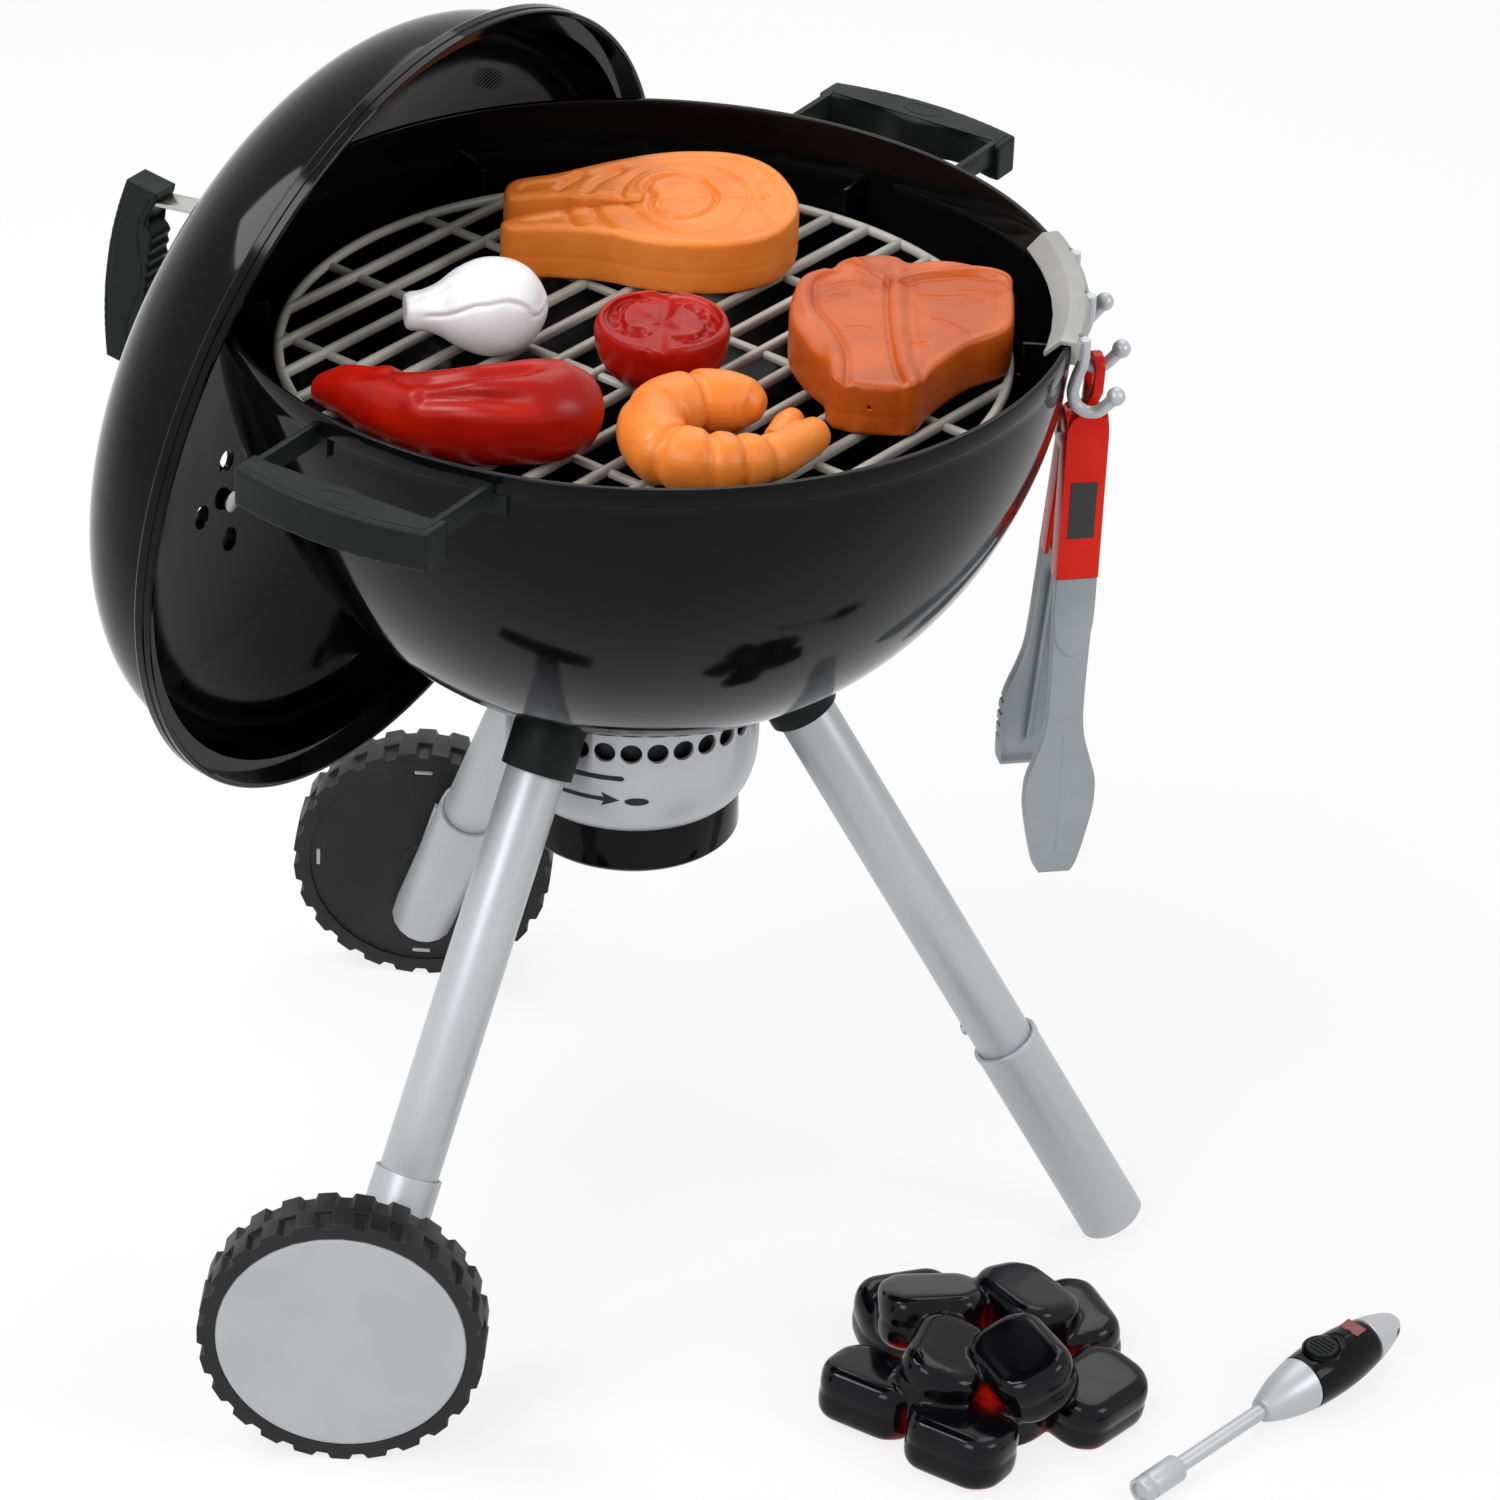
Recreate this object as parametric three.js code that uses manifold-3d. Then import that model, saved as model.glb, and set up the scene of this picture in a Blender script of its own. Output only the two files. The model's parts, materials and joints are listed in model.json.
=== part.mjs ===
// A toy kettle barbecue: a black bowl on three legs, its lid hung on the rim, a grate with pretend food,
// an ash catcher, tongs on a hook, and a coal bed and a lighter lying on the floor beside it.
// Millimetres, +Z up. The sizes are set up about the bowl's axis, with the floor at height zero.
import * as THREE from 'three';
import { mergeVertices } from 'three/addons/utils/BufferGeometryUtils.js';
import Module from 'manifold-3d';

const wasm = await Module();
wasm.setup();

const { PI, sin, cos, tan, asin, sqrt, hypot, abs } = Math;
const DEG = PI / 180;

// Shared clearances
const gap = 0.3;
const overrun = 6;
const weld = 0.001;

// Bowl
const rimRadius = 190;
const rimHeight = 489.4;
const rimBand = 9.4;
const rimStep = 2;
const rimRound = 1;
const rimThick = 2.8;
const ledgeDrop = 8;
const bowlWall = 2.8;
const bowlSkirt = 15;
const bowlCurveDepth = 181.9;
const bowlSidePower = 2.396;
const bowlFloorPower = 1.72;
const bowlDepth = 193.4;
const bossRadius = 12;
const roundSides = 32;
const curveSteps = 6;

// Grate ribs inside the bowl
const ribCount = 6;
const ribThick = 2.2;
const ribTopDrop = 19.4;
const ribLip = 0.5;

// Grate
const grateInset = 27;
const grateRingWidth = 4.5;
const grateRingHeight = 5;
const grateTopDrop = 29.8;
const barWidth = 4.5;
const barPitch = 20;
const barTurn = 54 * DEG;
const crossBarShares = [-0.6, -0.2, 0.2, 0.6];
const crossBarWidth = 4;
const crossBarHeight = 3.4;

// Legs
const legTurns = { foot: 0, near: -120 * DEG, far: 120 * DEG };
const legLean = 30.3 * DEG;
const legClear = 0.35;
const tubeRadius = 13.6;
const tubeWall = 1.6;
const collarRadius = 16.4;
const collarDrop = 18.5;
const collarGrip = 16;
const sleeveRadius = 15.6;
const sleeveGrip = 28;
const footSleeveTop = 104;
const nearSleeveTop = 114;
const farSleeveTop = 125;
const footChamfer = 1.5;
const footFlatDepth = 1.2;
const lugRadius = 3;
const lugProud = 1.6;
const lugHeight = 116;

// Wheels
const wheelRadius = 64.3;
const wheelWidth = 25;
const wheelTrail = 9.6;
const wheelStandOff = 13.3;
const treadCount = 24;
const treadDepth = 2.6;
const treadRib = 2.6;
const treadSlopeShare = 0.1;
const tyreWall = 6;
const webInset = 2;
const webThick = 3;
const hubRadius = 11;
const hubcapRadius = 56.1;
const hubcapThick = 2.2;
const tabWidth = 9;
const tabThick = 2;
const tabPlace = 52;
const axleRadius = 4;
const axleSeat = 10;
const axleHeadRadius = 7;
const axleHeadThick = 2.5;
const padWidth = 27;
const padThick = 4;

// Bowl handles
const handleTurns = { near: -120 * DEG, far: 60 * DEG };
const gripHalf = 49;
const gripTopDrop = 4.4;
const gripHeight = 18;
const gripStand = 31;
const gripValley = 5.5;
const gripValleyPlace = 25;
const gripDepth = 15;
const gripBulge = 7;
const gripRound = 2;
const armPlace = 44.5;
const armThick = 3;
const armHeight = 10;
const armSeat = 7;
const armFootWidth = 14;
const armFootThick = 2.4;
const armFootHeight = 9;

// Ash catcher
const bandRadius = 58;
const bandWall = 2.2;
const bandHeight = 57;
const bandClear = 0.6;
const bandMouthRadius = 50.5;
const bandMouthShares = [[0, 0], [0.53, 0.09], [0.87, 0.23], [1, 0.42]];
const webDrop = 3.2;
const bandWeb = 2.5;
const washerRadius = 18;
const washerThick = 2.5;
const screwRadius = 2;
const screwHeadRadius = 5;
const screwHeadThick = 2.4;
const screwLength = 9;
const cupRadius = 49.5;
const cupBaseRadius = 50.4;
const cupHeight = 23;
const cupWall = 2;
const cupNeck = 9;
const cupCorner = 2.5;

// Lid, in its own frame: rim at zero, top of the dome along +Z, the vertical of the hung lid along +Y
const lidTurn = 149.7 * DEG;
const lidLift = 8 * DEG;
const lidRestShare = 0.5033;
const lidRestSide = 3.2;
const lidRestRoom = 9.64;
const lipOverhang = 3.5;
const lipDepth = 9.5;
const lipLedge = 7;
const lipGroove = 0.8;
const lipGrooveWidth = 1.6;
const lipGroovePlace = 3.6;
const lidWall = 2.5;
const domeInset = 9.5;
const domeDepth = 83.5;
const domePower = 2.5;
const hookWidth = 24;
const hookPlate = 3.4;
const hookRise = 22;
const hookLip = 3.2;
const hookLipThick = 2.8;
const hookSlack = 3.2;
const ventUp = -88;
const ventSide = 13;
const ventCircle = 20.5;
const ventHoleRadius = 5.8;
const ventCount = 4;
const ventPadRadius = 28.5;
const ventPadProud = 0.8;
const damperRadius = 28;
const damperThick = 2;
const damperTurn = 18 * DEG;
const damperTabLength = 14;
const damperTabWidth = 8;
const damperTabHeight = 6;
const rivetRadius = 2.6;
const rivetHeadRadius = 5.5;
const rivetHeadThick = 1.6;
const rivetSlack = 1.8;

// Lid handle
const strapWidth = 13;
const strapThick = 2;
const strapGripPlace = 42;
const strapDomePlace = 56;
const strapFoot = 15;
const strapSeat = 7;
const strapScrewShare = 0.55;
const strapScrewHead = 4;
const lidGripRise = 54.5;
const lidGripDepth = 18;
const lidGripWidth = 15;
const lidGripHalf = 48;
const lidGripRidges = 9;
const lidGripRidgePitch = 6;
const lidGripRidgeDepth = 1;

// Tool clip and hooks
const clipStart = -12 * DEG;
const clipEnd = 21 * DEG;
const clipThick = 2.2;
const clipTopThick = 1.8;
const clipTopOut = 3.9;
const clipOuterDrop = 8.6;
const clipInnerReach = 7;
const clipSlantShare = 0.3;
const toolHookTurns = { left: -9.5 * DEG, middle: 3 * DEG, right: 15.5 * DEG };
const toolHookRadius = 2.8;
const toolHookBall = 4.2;
const toolHookWidth = 19;
const toolHookDrop = 36.4;
const toolHookRouteShares = [[0.19, 0.04], [0.18, 0.34], [0.07, 0.56], [0, 0.76], [0.09, 0.92],
  [0.33, 1], [0.59, 0.985], [0.82, 0.87], [1, 0.75]];
const hookBossWidth = 8;
const hookBossHeight = 9;

// Tongs
const tongsPlace = 3.9 * DEG;
const tongsTurn = 17 * DEG;
const tongsTilt = 2.2 * DEG;
const tongsOut = 4.1;
const tongsPivotDrop = 31;
const tongsHalfWidth = 9.8;
const tongsWall = 1.9;
const tongsDepth = 9;
const tongsHeadRadius = 10.3;
const tongsPinRadius = 2;
const tongsGripLength = 70;
const frontLean = 5.7 * DEG;
const rearLean = 5.7 * DEG;
const frontBladeLength = 146;
const frontBladeHalf = 16.5;
const frontBladeShares = [[0, 0.57], [0.22, 0.52], [0.42, 0.49], [0.52, 0.55], [0.6, 0.75], [0.67, 0.95],
  [0.72, 1], [0.79, 0.97], [0.9, 0.77], [0.97, 0.6], [1, 0.45]];
const rearBladeLength = 120;
const rearBladeHalf = 15.5;
const rearBladeShares = [[0, 0.48], [0.3, 0.48], [0.45, 0.52], [0.55, 0.68], [0.65, 0.9], [0.75, 1],
  [0.95, 0.9], [1, 0.78]];
const bladeDepth = 5;
const bladeWall = 1.6;
const shieldLength = 38;
const shieldProud = 0.9;
const shieldCurveShare = 0.8;
const tongueLength = 12;
const eyeWidth = 15;
const eyeThick = 4.4;
const eyeHoleWidth = 9.4;
const eyeHoleHeight = 14;
const eyeSlack = 1.2;
const neckHalf = 3.5;
const eyeTop = 3;
const eyeOut = 2;
const eyeAcross = -4;

// Food lying on the grate: centres as shares of the grate radius
const foodPlaceShares = {
  fish: [-0.012, 0.592], steak: [0.691, -0.123], garlic: [-0.45, -0.1], tomato: [0.055, -0.19],
  pepper: [-0.49, -0.6], shrimp: [0.25, -0.655],
};
const fishLength = 131;
const fishWidth = 97;
const fishHeight = 26;
const fishRound = 4;
const fishShares = [[-0.5, 0.07], [-0.35, 0.18], [-0.19, 0.325], [-0.02, 0.45], [0.13, 0.5], [0.28, 0.49],
  [0.39, 0.385], [0.46, 0.21], [0.5, 0.01], [0.49, -0.16], [0.43, -0.34], [0.31, -0.455], [0.17, -0.5],
  [0.01, -0.49], [-0.16, -0.42], [-0.31, -0.41], [-0.48, -0.43], [-0.5, -0.34], [-0.33, -0.19],
  [-0.15, -0.12], [-0.03, -0.075], [-0.16, -0.045], [-0.33, -0.055], [-0.5, -0.12]];
const steakLength = 142;
const steakWidth = 99;
const steakHeight = 25;
const steakRound = 4.5;
const steakShares = [[-0.33, 0.39], [-0.29, 0.45], [-0.15, 0.5], [-0.03, 0.495], [0.02, 0.455], [0.13, 0.485],
  [0.29, 0.475], [0.43, 0.43], [0.48, 0.36], [0.495, 0.22], [0.475, 0.04], [0.3, -0.08], [0.16, -0.24],
  [0.1, -0.35], [0.05, -0.395], [-0.11, -0.4], [-0.26, -0.38], [-0.31, -0.33], [-0.325, -0.24],
  [-0.4, -0.16], [-0.48, -0.02], [-0.5, 0.09], [-0.49, 0.22], [-0.44, 0.33]];
const tomatoRadius = 30;
const tomatoHeight = 28;
const tomatoRim = 4;
const tomatoRecess = 2;
const tomatoShares = [[0, 0], [0.5, 0], [0.74, 0.13], [0.92, 0.4], [1, 0.78], [0.98, 0.96], [0.93, 1]];
const garlicLength = 63;
const garlicRadius = 21.5;
const garlicTurn = 14 * DEG;
const garlicShares = [[0, 0.34], [0.04, 0.4], [0.12, 0.42], [0.24, 0.55], [0.38, 0.82], [0.55, 1],
  [0.72, 0.98], [0.86, 0.8], [0.95, 0.5], [1, 0.18]];
const pepperLength = 114;
const pepperRadius = 21.5;
const pepperRouteShares = [[-0.5, 0.22], [-0.4, 0.16], [-0.26, 0.02], [-0.08, -0.1], [0.14, -0.16],
  [0.34, -0.13], [0.43, -0.08], [0.5, -0.02]];
const pepperRadiusShares = [0.2, 0.42, 0.6, 0.72, 0.96, 1, 0.84, 0.36];
const pepperLobes = 4;
const pepperLobeShare = 0.05;
const shrimpLength = 84;
const shrimpRadius = 14.5;
const shrimpRouteShares = [[0.12, 0.37], [0, 0.38], [-0.16, 0.34], [-0.32, 0.2], [-0.38, -0.02], [-0.3, -0.24],
  [-0.13, -0.31], [0.06, -0.26], [0.23, -0.14], [0.36, 0.04], [0.46, 0.24]];
const shrimpRadiusShares = [0.55, 0.8, 0.88, 0.95, 1, 0.98, 0.94, 0.86, 0.74, 0.55, 0.28];
const shrimpSegments = 7;
const shrimpWaistShare = 0.06;

// Coal bed, lying on the floor: each briquette's centre as shares of the bed, its turn and its tilt
const bedLength = 147;
const bedDepth = 136;
const bedHeight = 52;
const bedPlace = [176, -146];
const coalLength = 50;
const coalWidth = 39;
const coalThick = 27;
const coalRound = 9;
const coalShares = [
  [-0.33, -0.1, 0.27, 150, 8], [-0.06, -0.33, 0.25, -30, -6], [0.34, -0.06, 0.27, 50, 8],
  [-0.17, 0.2, 0.6, 8, -14], [-0.24, 0.33, 0.3, 20, 10], [0.12, 0.24, 0.6, 130, 12],
  [0.27, 0.3, 0.3, 115, -8], [-0.12, -0.1, 0.58, 75, 16], [0.12, -0.14, 0.7, 120, -20],
];

// Lighter, lying on the floor
const lighterPlace = [247.8, -213];
const lighterTurn = 46.9 * DEG;
const lighterTipLength = 25;
const lighterTipRadius = 6.5;
const lighterTipBore = 4.6;
const lighterTipBoreDepth = 1.5;
const lighterRodLength = 56;
const lighterRodRadius = 3.75;
const lighterSeat = 6;
const lighterBodyLength = 94;
const lighterBodyRadius = 14;
const lighterShares = [[0, 0.4], [0.06, 0.56], [0.16, 0.77], [0.3, 0.94], [0.45, 1], [0.6, 0.97], [0.76, 0.82],
  [0.88, 0.62], [0.96, 0.4], [1, 0.14]];
const lighterWidestShare = 0.45;
const lighterNoseShare = 0.3;
const lighterTailShare = 0.76;
const lighterButtonRadius = 7.5;
const lighterButtonShare = 0.44;
const lighterButtonProud = 1.4;
const lighterButtonSeat = 4.5;
const lighterButtonTravel = 1.2;
const lighterHoleRadius = 2.2;
const lighterHoleShare = 0.93;

// Sizes that follow from the ones above
const skirtHeight = rimHeight - bowlSkirt;
const floorHeight = rimHeight - bowlDepth;
const bodyRadius = rimRadius - rimStep;
const grateRadius = rimRadius - grateInset;
const gripInner = rimRadius + gripStand;
const collarMouthHeight = floorHeight - collarDrop;
const legTopRadius = bandRadius + bandClear + collarRadius / cos(legLean) + legClear;
const legFootRadius = legTopRadius + collarMouthHeight * tan(legLean);
const axleHeight = wheelRadius * cos(PI / treadCount / 2);
const legAtAxle = legFootRadius - axleHeight * tan(legLean);
const wheelInnerSide = legAtAxle * sin(legTurns.far) + wheelStandOff;
const wheelBack = -legAtAxle * cos(legTurns.far) + wheelTrail;
const lipRadius = rimRadius + lipOverhang;
const domeRadius = lipRadius - domeInset;
const toolHookInner = bodyRadius + gap + toolHookRadius;
const tongsReach = toolHookInner + tongsOut;

// Finishes
const glossBlack = { color: 0x0c0c0e, roughness: 0.18, metalness: 0 };
const satinBlack = { color: 0x2a2b2c, roughness: 0.55, metalness: 0 };
const treadBlack = { color: 0x1a1a1a, roughness: 0.7, metalness: 0 };
const silverPlastic = { color: 0xb9babc, roughness: 0.38, metalness: 0.25 };
const paleGrey = { color: 0xc2c3c5, roughness: 0.5, metalness: 0 };
const grateGrey = { color: 0xaaa89f, roughness: 0.5, metalness: 0 };
const steel = { color: 0xb5b6b4, roughness: 0.3, metalness: 0.9 };
const tongsRed = { color: 0xe0260c, roughness: 0.25, metalness: 0 };
const tongsGrey = { color: 0x8f979c, roughness: 0.4, metalness: 0.1 };
const fishOrange = { color: 0xe89245, roughness: 0.42, metalness: 0 };
const steakBrown = { color: 0xc0621f, roughness: 0.42, metalness: 0 };
const garlicWhite = { color: 0xf2f2f4, roughness: 0.35, metalness: 0 };
const foodRed = { color: 0xb5170b, roughness: 0.35, metalness: 0 };
const coalBlack = { color: 0x0b0b10, roughness: 0.12, metalness: 0 };

// Working with solids: join, cut and common take geometries or solids and give a solid
function solidOf(shape) {
  if (!shape.isBufferGeometry) return shape;
  const bare = shape.clone();
  bare.deleteAttribute('normal');
  bare.deleteAttribute('uv');
  const merged = mergeVertices(bare, weld);
  const corners = merged.index.array;
  const kept = [];
  for (let i = 0; i < corners.length; i += 3) {
    const [a, b, c] = [corners[i], corners[i + 1], corners[i + 2]];
    if (a !== b && b !== c && c !== a) kept.push(a, b, c);
  }
  const vertProperties = merged.attributes.position.array;
  return new wasm.Manifold(new wasm.Mesh({ numProp: 3, vertProperties, triVerts: Uint32Array.from(kept) }));
}

const join = (first, ...rest) => rest.reduce((sum, next) => sum.add(solidOf(next)), solidOf(first));
const cut = (first, ...rest) => rest.reduce((sum, next) => sum.subtract(solidOf(next)), solidOf(first));
const common = (first, ...rest) => rest.reduce((sum, next) => sum.intersect(solidOf(next)), solidOf(first));

function geometryOf(shape) {
  const mesh = solidOf(shape).getMesh();
  const geometry = new THREE.BufferGeometry();
  geometry.setAttribute('position', new THREE.BufferAttribute(mesh.vertProperties, mesh.numProp));
  geometry.setIndex(new THREE.BufferAttribute(mesh.triVerts, 1));
  geometry.computeVertexNormals();
  return geometry;
}

function addPiece(parent, name, shape, finish) {
  const mesh = new THREE.Mesh(geometryOf(shape), new THREE.MeshStandardMaterial(finish));
  mesh.name = name;
  parent.add(mesh);
  return mesh;
}

// Basic forms
const point = (x, y, z) => new THREE.Vector3(x, y, z);
const along = (azimuth, radius, z) => point(radius * cos(azimuth), radius * sin(azimuth), z);

// A profile of [radius, height] pairs turned about +Z, counter-clockwise seen with the radius to the right
function revolve(profile, sides = roundSides) {
  const points = profile.map(([radius, height]) => new THREE.Vector2(radius, height));
  return new THREE.LatheGeometry(points, sides).rotateX(PI / 2);
}

function ring(inner, outer, low, high, sides = roundSides) {
  return revolve([[inner, low], [outer, low], [outer, high], [inner, high], [inner, low]], sides);
}

function disc(radius, low, high, sides = roundSides) {
  return revolve([[0, low], [radius, low], [radius, high], [0, high]], sides);
}

function block(x, y, z, width, depth, height) {
  return new THREE.BoxGeometry(width, depth, height).translate(x, y, z);
}

// Moves a form made along +Z so that it starts at one point and runs towards another
function aim(geometry, from, to) {
  const turn = new THREE.Quaternion().setFromUnitVectors(point(0, 0, 1), to.clone().sub(from).normalize());
  return geometry.applyQuaternion(turn).translate(from.x, from.y, from.z);
}

const tubeSides = 18;

function rod(radius, from, to, sides = tubeSides) {
  return aim(disc(radius, 0, from.distanceTo(to), sides), from, to);
}

const outlineOf = (points) => new THREE.Shape(points.map(([x, y]) => new THREE.Vector2(x, y)));

function prism(outline, depth, round = 0, steps = 2) {
  const options = { depth: depth - 2 * round, bevelEnabled: round > 0, bevelThickness: round, bevelSize: round,
    bevelOffset: -round, bevelSegments: steps, curveSegments: 6 };
  return new THREE.ExtrudeGeometry(outline, options).translate(0, 0, round);
}

// A flat strip that follows a bent line of [x, y] points, as an outline
function stripOutline(points, thick) {
  const sides = points.map((here, i) => {
    const before = points[Math.max(i - 1, 0)];
    const after = points[Math.min(i + 1, points.length - 1)];
    const [inX, inY] = [here[0] - before[0], here[1] - before[1]];
    const [outX, outY] = [after[0] - here[0], after[1] - here[1]];
    const [inLength, outLength] = [hypot(inX, inY) || 1, hypot(outX, outY) || 1];
    const tangent = new THREE.Vector2(inX / inLength + outX / outLength, inY / inLength + outY / outLength);
    tangent.normalize();
    const half = thick / 2 / (i > 0 && i < points.length - 1
      ? (tangent.x * outX + tangent.y * outY) / outLength : 1);
    return { left: [here[0] - tangent.y * half, here[1] + tangent.x * half],
      right: [here[0] + tangent.y * half, here[1] - tangent.x * half] };
  });
  return outlineOf([...sides.map((side) => side.right), ...sides.map((side) => side.left).reverse()]);
}

// A tapering body that follows a curve, with a ring of points at each step and a cap at each end
function loft(curve, radiusAt, steps, sides, lobeAt = () => 1) {
  const frames = curve.computeFrenetFrames(steps, false);
  const places = [];
  const faces = [];
  for (let i = 0; i <= steps; i += 1) {
    const centre = curve.getPointAt(i / steps);
    for (let j = 0; j < sides; j += 1) {
      const angle = 2 * PI * j / sides;
      const radius = radiusAt(i / steps) * lobeAt(angle);
      const spot = centre.clone().addScaledVector(frames.normals[i], radius * cos(angle));
      spot.addScaledVector(frames.binormals[i], radius * sin(angle));
      places.push(spot.x, spot.y, spot.z);
    }
  }
  const first = places.length / 3;
  for (const end of [0, 1]) {
    const centre = curve.getPointAt(end);
    places.push(centre.x, centre.y, centre.z);
  }
  for (let j = 0; j < sides; j += 1) {
    const next = (j + 1) % sides;
    faces.push(first, next, j);
    faces.push(first + 1, steps * sides + j, steps * sides + next);
    for (let i = 0; i < steps; i += 1) {
      const [low, high] = [i * sides, (i + 1) * sides];
      faces.push(low + j, low + next, high + j);
      faces.push(low + next, high + next, high + j);
    }
  }
  const geometry = new THREE.BufferGeometry();
  geometry.setAttribute('position', new THREE.Float32BufferAttribute(places, 3));
  geometry.setIndex(faces);
  return geometry;
}

// A value read from a list of shares that stand at equal steps
function readShares(shares, t) {
  const place = t * (shares.length - 1);
  const low = Math.min(Math.floor(place), shares.length - 2);
  return shares[low] + (shares[low + 1] - shares[low]) * (place - low);
}

const grill = new THREE.Group();

// The bowl's curve: radius against height, grown outwards by a clearance or inwards by the wall
function bowlCurve(growth, lowest, steps) {
  const [radius, depth] = [bodyRadius + growth, bowlCurveDepth + growth];
  const end = asin(((skirtHeight - lowest) / depth) ** (bowlFloorPower / 2));
  const points = [];
  for (let i = 0; i <= steps; i += 1) {
    const angle = end * (1 - i / steps);
    points.push([radius * cos(angle) ** (2 / bowlSidePower),
      skirtHeight - depth * sin(angle) ** (2 / bowlFloorPower)]);
  }
  return points;
}

function bowlBlank(growth) {
  return revolve([[0, floorHeight - growth], ...bowlCurve(growth, floorHeight - growth, curveSteps),
    [bodyRadius + growth, rimHeight - rimBand - growth], [rimRadius + growth, rimHeight - rimBand - growth],
    [rimRadius + growth, rimHeight + growth], [0, rimHeight + growth]]);
}

const webTop = floorHeight - bandClear - webDrop;
const webLow = webTop - bandWeb;
const grateTop = rimHeight - grateTopDrop;
const grateLow = grateTop - grateRingHeight;

function makeBowl() {
  const rimInner = rimRadius - rimThick;
  const shell = revolve([
    [0, webLow], [bossRadius, webLow], [bossRadius, floorHeight], ...bowlCurve(0, floorHeight, curveSteps),
    [bodyRadius, rimHeight - rimBand], [rimRadius, rimHeight - rimBand], [rimRadius, rimHeight - rimRound],
    [rimRadius - rimRound, rimHeight], [rimInner, rimHeight], [rimInner, rimHeight - ledgeDrop],
    ...bowlCurve(-bowlWall, floorHeight + bowlWall, curveSteps).reverse(), [0, floorHeight + bowlWall],
  ]);
  const ribTop = rimHeight - ribTopDrop;
  const ribSeat = grateLow - gap;
  const seatRadius = grateRadius + 2 * gap + rimStep;
  const innerEdge = grateRadius - grateRingWidth - ribLip;
  const ribOutline = outlineOf([[bodyRadius, ribTop], [seatRadius, ribTop], [seatRadius, ribSeat],
    [innerEdge, ribSeat], [innerEdge, floorHeight], [bodyRadius, floorHeight]]);
  const inside = bowlBlank(-bowlWall / 2);
  let ribs = null;
  for (let i = 0; i < ribCount; i += 1) {
    const rib = prism(ribOutline, ribThick).rotateX(PI / 2).translate(0, ribThick / 2, 0);
    rib.rotateZ(2 * PI * i / ribCount);
    ribs = ribs ? join(ribs, rib) : solidOf(rib);
  }
  const pilot = disc(screwRadius + gap, webLow - overrun, webLow + screwLength - overrun / 2, 12);
  addPiece(grill, 'bowl', cut(join(shell, common(ribs, inside)), pilot), glossBlack);
}

// Legs: each is a sloping line from the bowl down to the floor
const sleeveTops = { foot: footSleeveTop, near: nearSleeveTop, far: farSleeveTop };
const legPoint = (leg, height) => along(legTurns[leg], legFootRadius - height * tan(legLean), height);
const bowlCutter = bowlBlank(gap);
const climb = (length) => length * cos(legLean);

function makeLeg(leg) {
  const mouth = legPoint(leg, collarMouthHeight);
  const seat = legPoint(leg, collarMouthHeight + climb(collarGrip));
  const tubeFoot = legPoint(leg, sleeveTops[leg] - climb(sleeveGrip));
  const inBowl = legPoint(leg, floorHeight + collarRadius * 2);
  const bandRoom = disc(bandRadius + bandClear, collarMouthHeight - overrun * 2, floorHeight);
  const boreStart = legPoint(leg, collarMouthHeight - overrun);
  const boreEnd = legPoint(leg, collarMouthHeight + climb(collarGrip + gap));
  const collar = cut(rod(collarRadius, mouth, inBowl), bowlCutter, bandRoom,
    rod(tubeRadius + gap, boreStart, boreEnd));
  addPiece(grill, `leg_collar_${leg}`, collar, satinBlack);

  const length = tubeFoot.distanceTo(seat);
  let tube = aim(ring(tubeRadius - tubeWall, tubeRadius, 0, length, tubeSides), tubeFoot, seat);
  if (leg === 'foot') {
    const nubCentre = legPoint(leg, lugHeight);
    const inwards = along(legTurns[leg] + PI, 1, 0).applyAxisAngle(point(0, 1, 0), -legLean);
    const nubEnd = nubCentre.clone().addScaledVector(inwards, tubeRadius + lugProud);
    const nubStart = nubCentre.clone().addScaledVector(inwards, tubeRadius - tubeWall);
    tube = join(tube, rod(lugRadius, nubStart, nubEnd, 10));
  }
  addPiece(grill, `leg_tube_${leg}`, tube, silverPlastic);
}

function sleeveForm(leg, lowCentre, chamfer) {
  const top = legPoint(leg, sleeveTops[leg]);
  const length = lowCentre.distanceTo(top);
  const bore = tubeRadius + gap;
  const boreFloor = length - sleeveGrip - gap;
  return aim(revolve([[0, 0], [sleeveRadius - chamfer, 0], [sleeveRadius, chamfer], [sleeveRadius, length],
    [bore, length], [bore, boreFloor], [0, boreFloor]], tubeSides), lowCentre, top);
}

function makeFootSleeve() {
  const capHeight = (sleeveRadius - footChamfer) * sin(legLean) - footFlatDepth;
  const floorBlock = block(legFootRadius, 0, -overrun, sleeveRadius * 4, sleeveRadius * 4, overrun * 2);
  const sleeve = sleeveForm('foot', legPoint('foot', capHeight), footChamfer);
  addPiece(grill, 'foot_sleeve', cut(sleeve, floorBlock), silverPlastic);
}

// The two wheels and the sleeves that carry their pins. Side is -1 for the near wheel and 1 for the far one.
const wheelSides = { near: -1, far: 1 };

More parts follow.
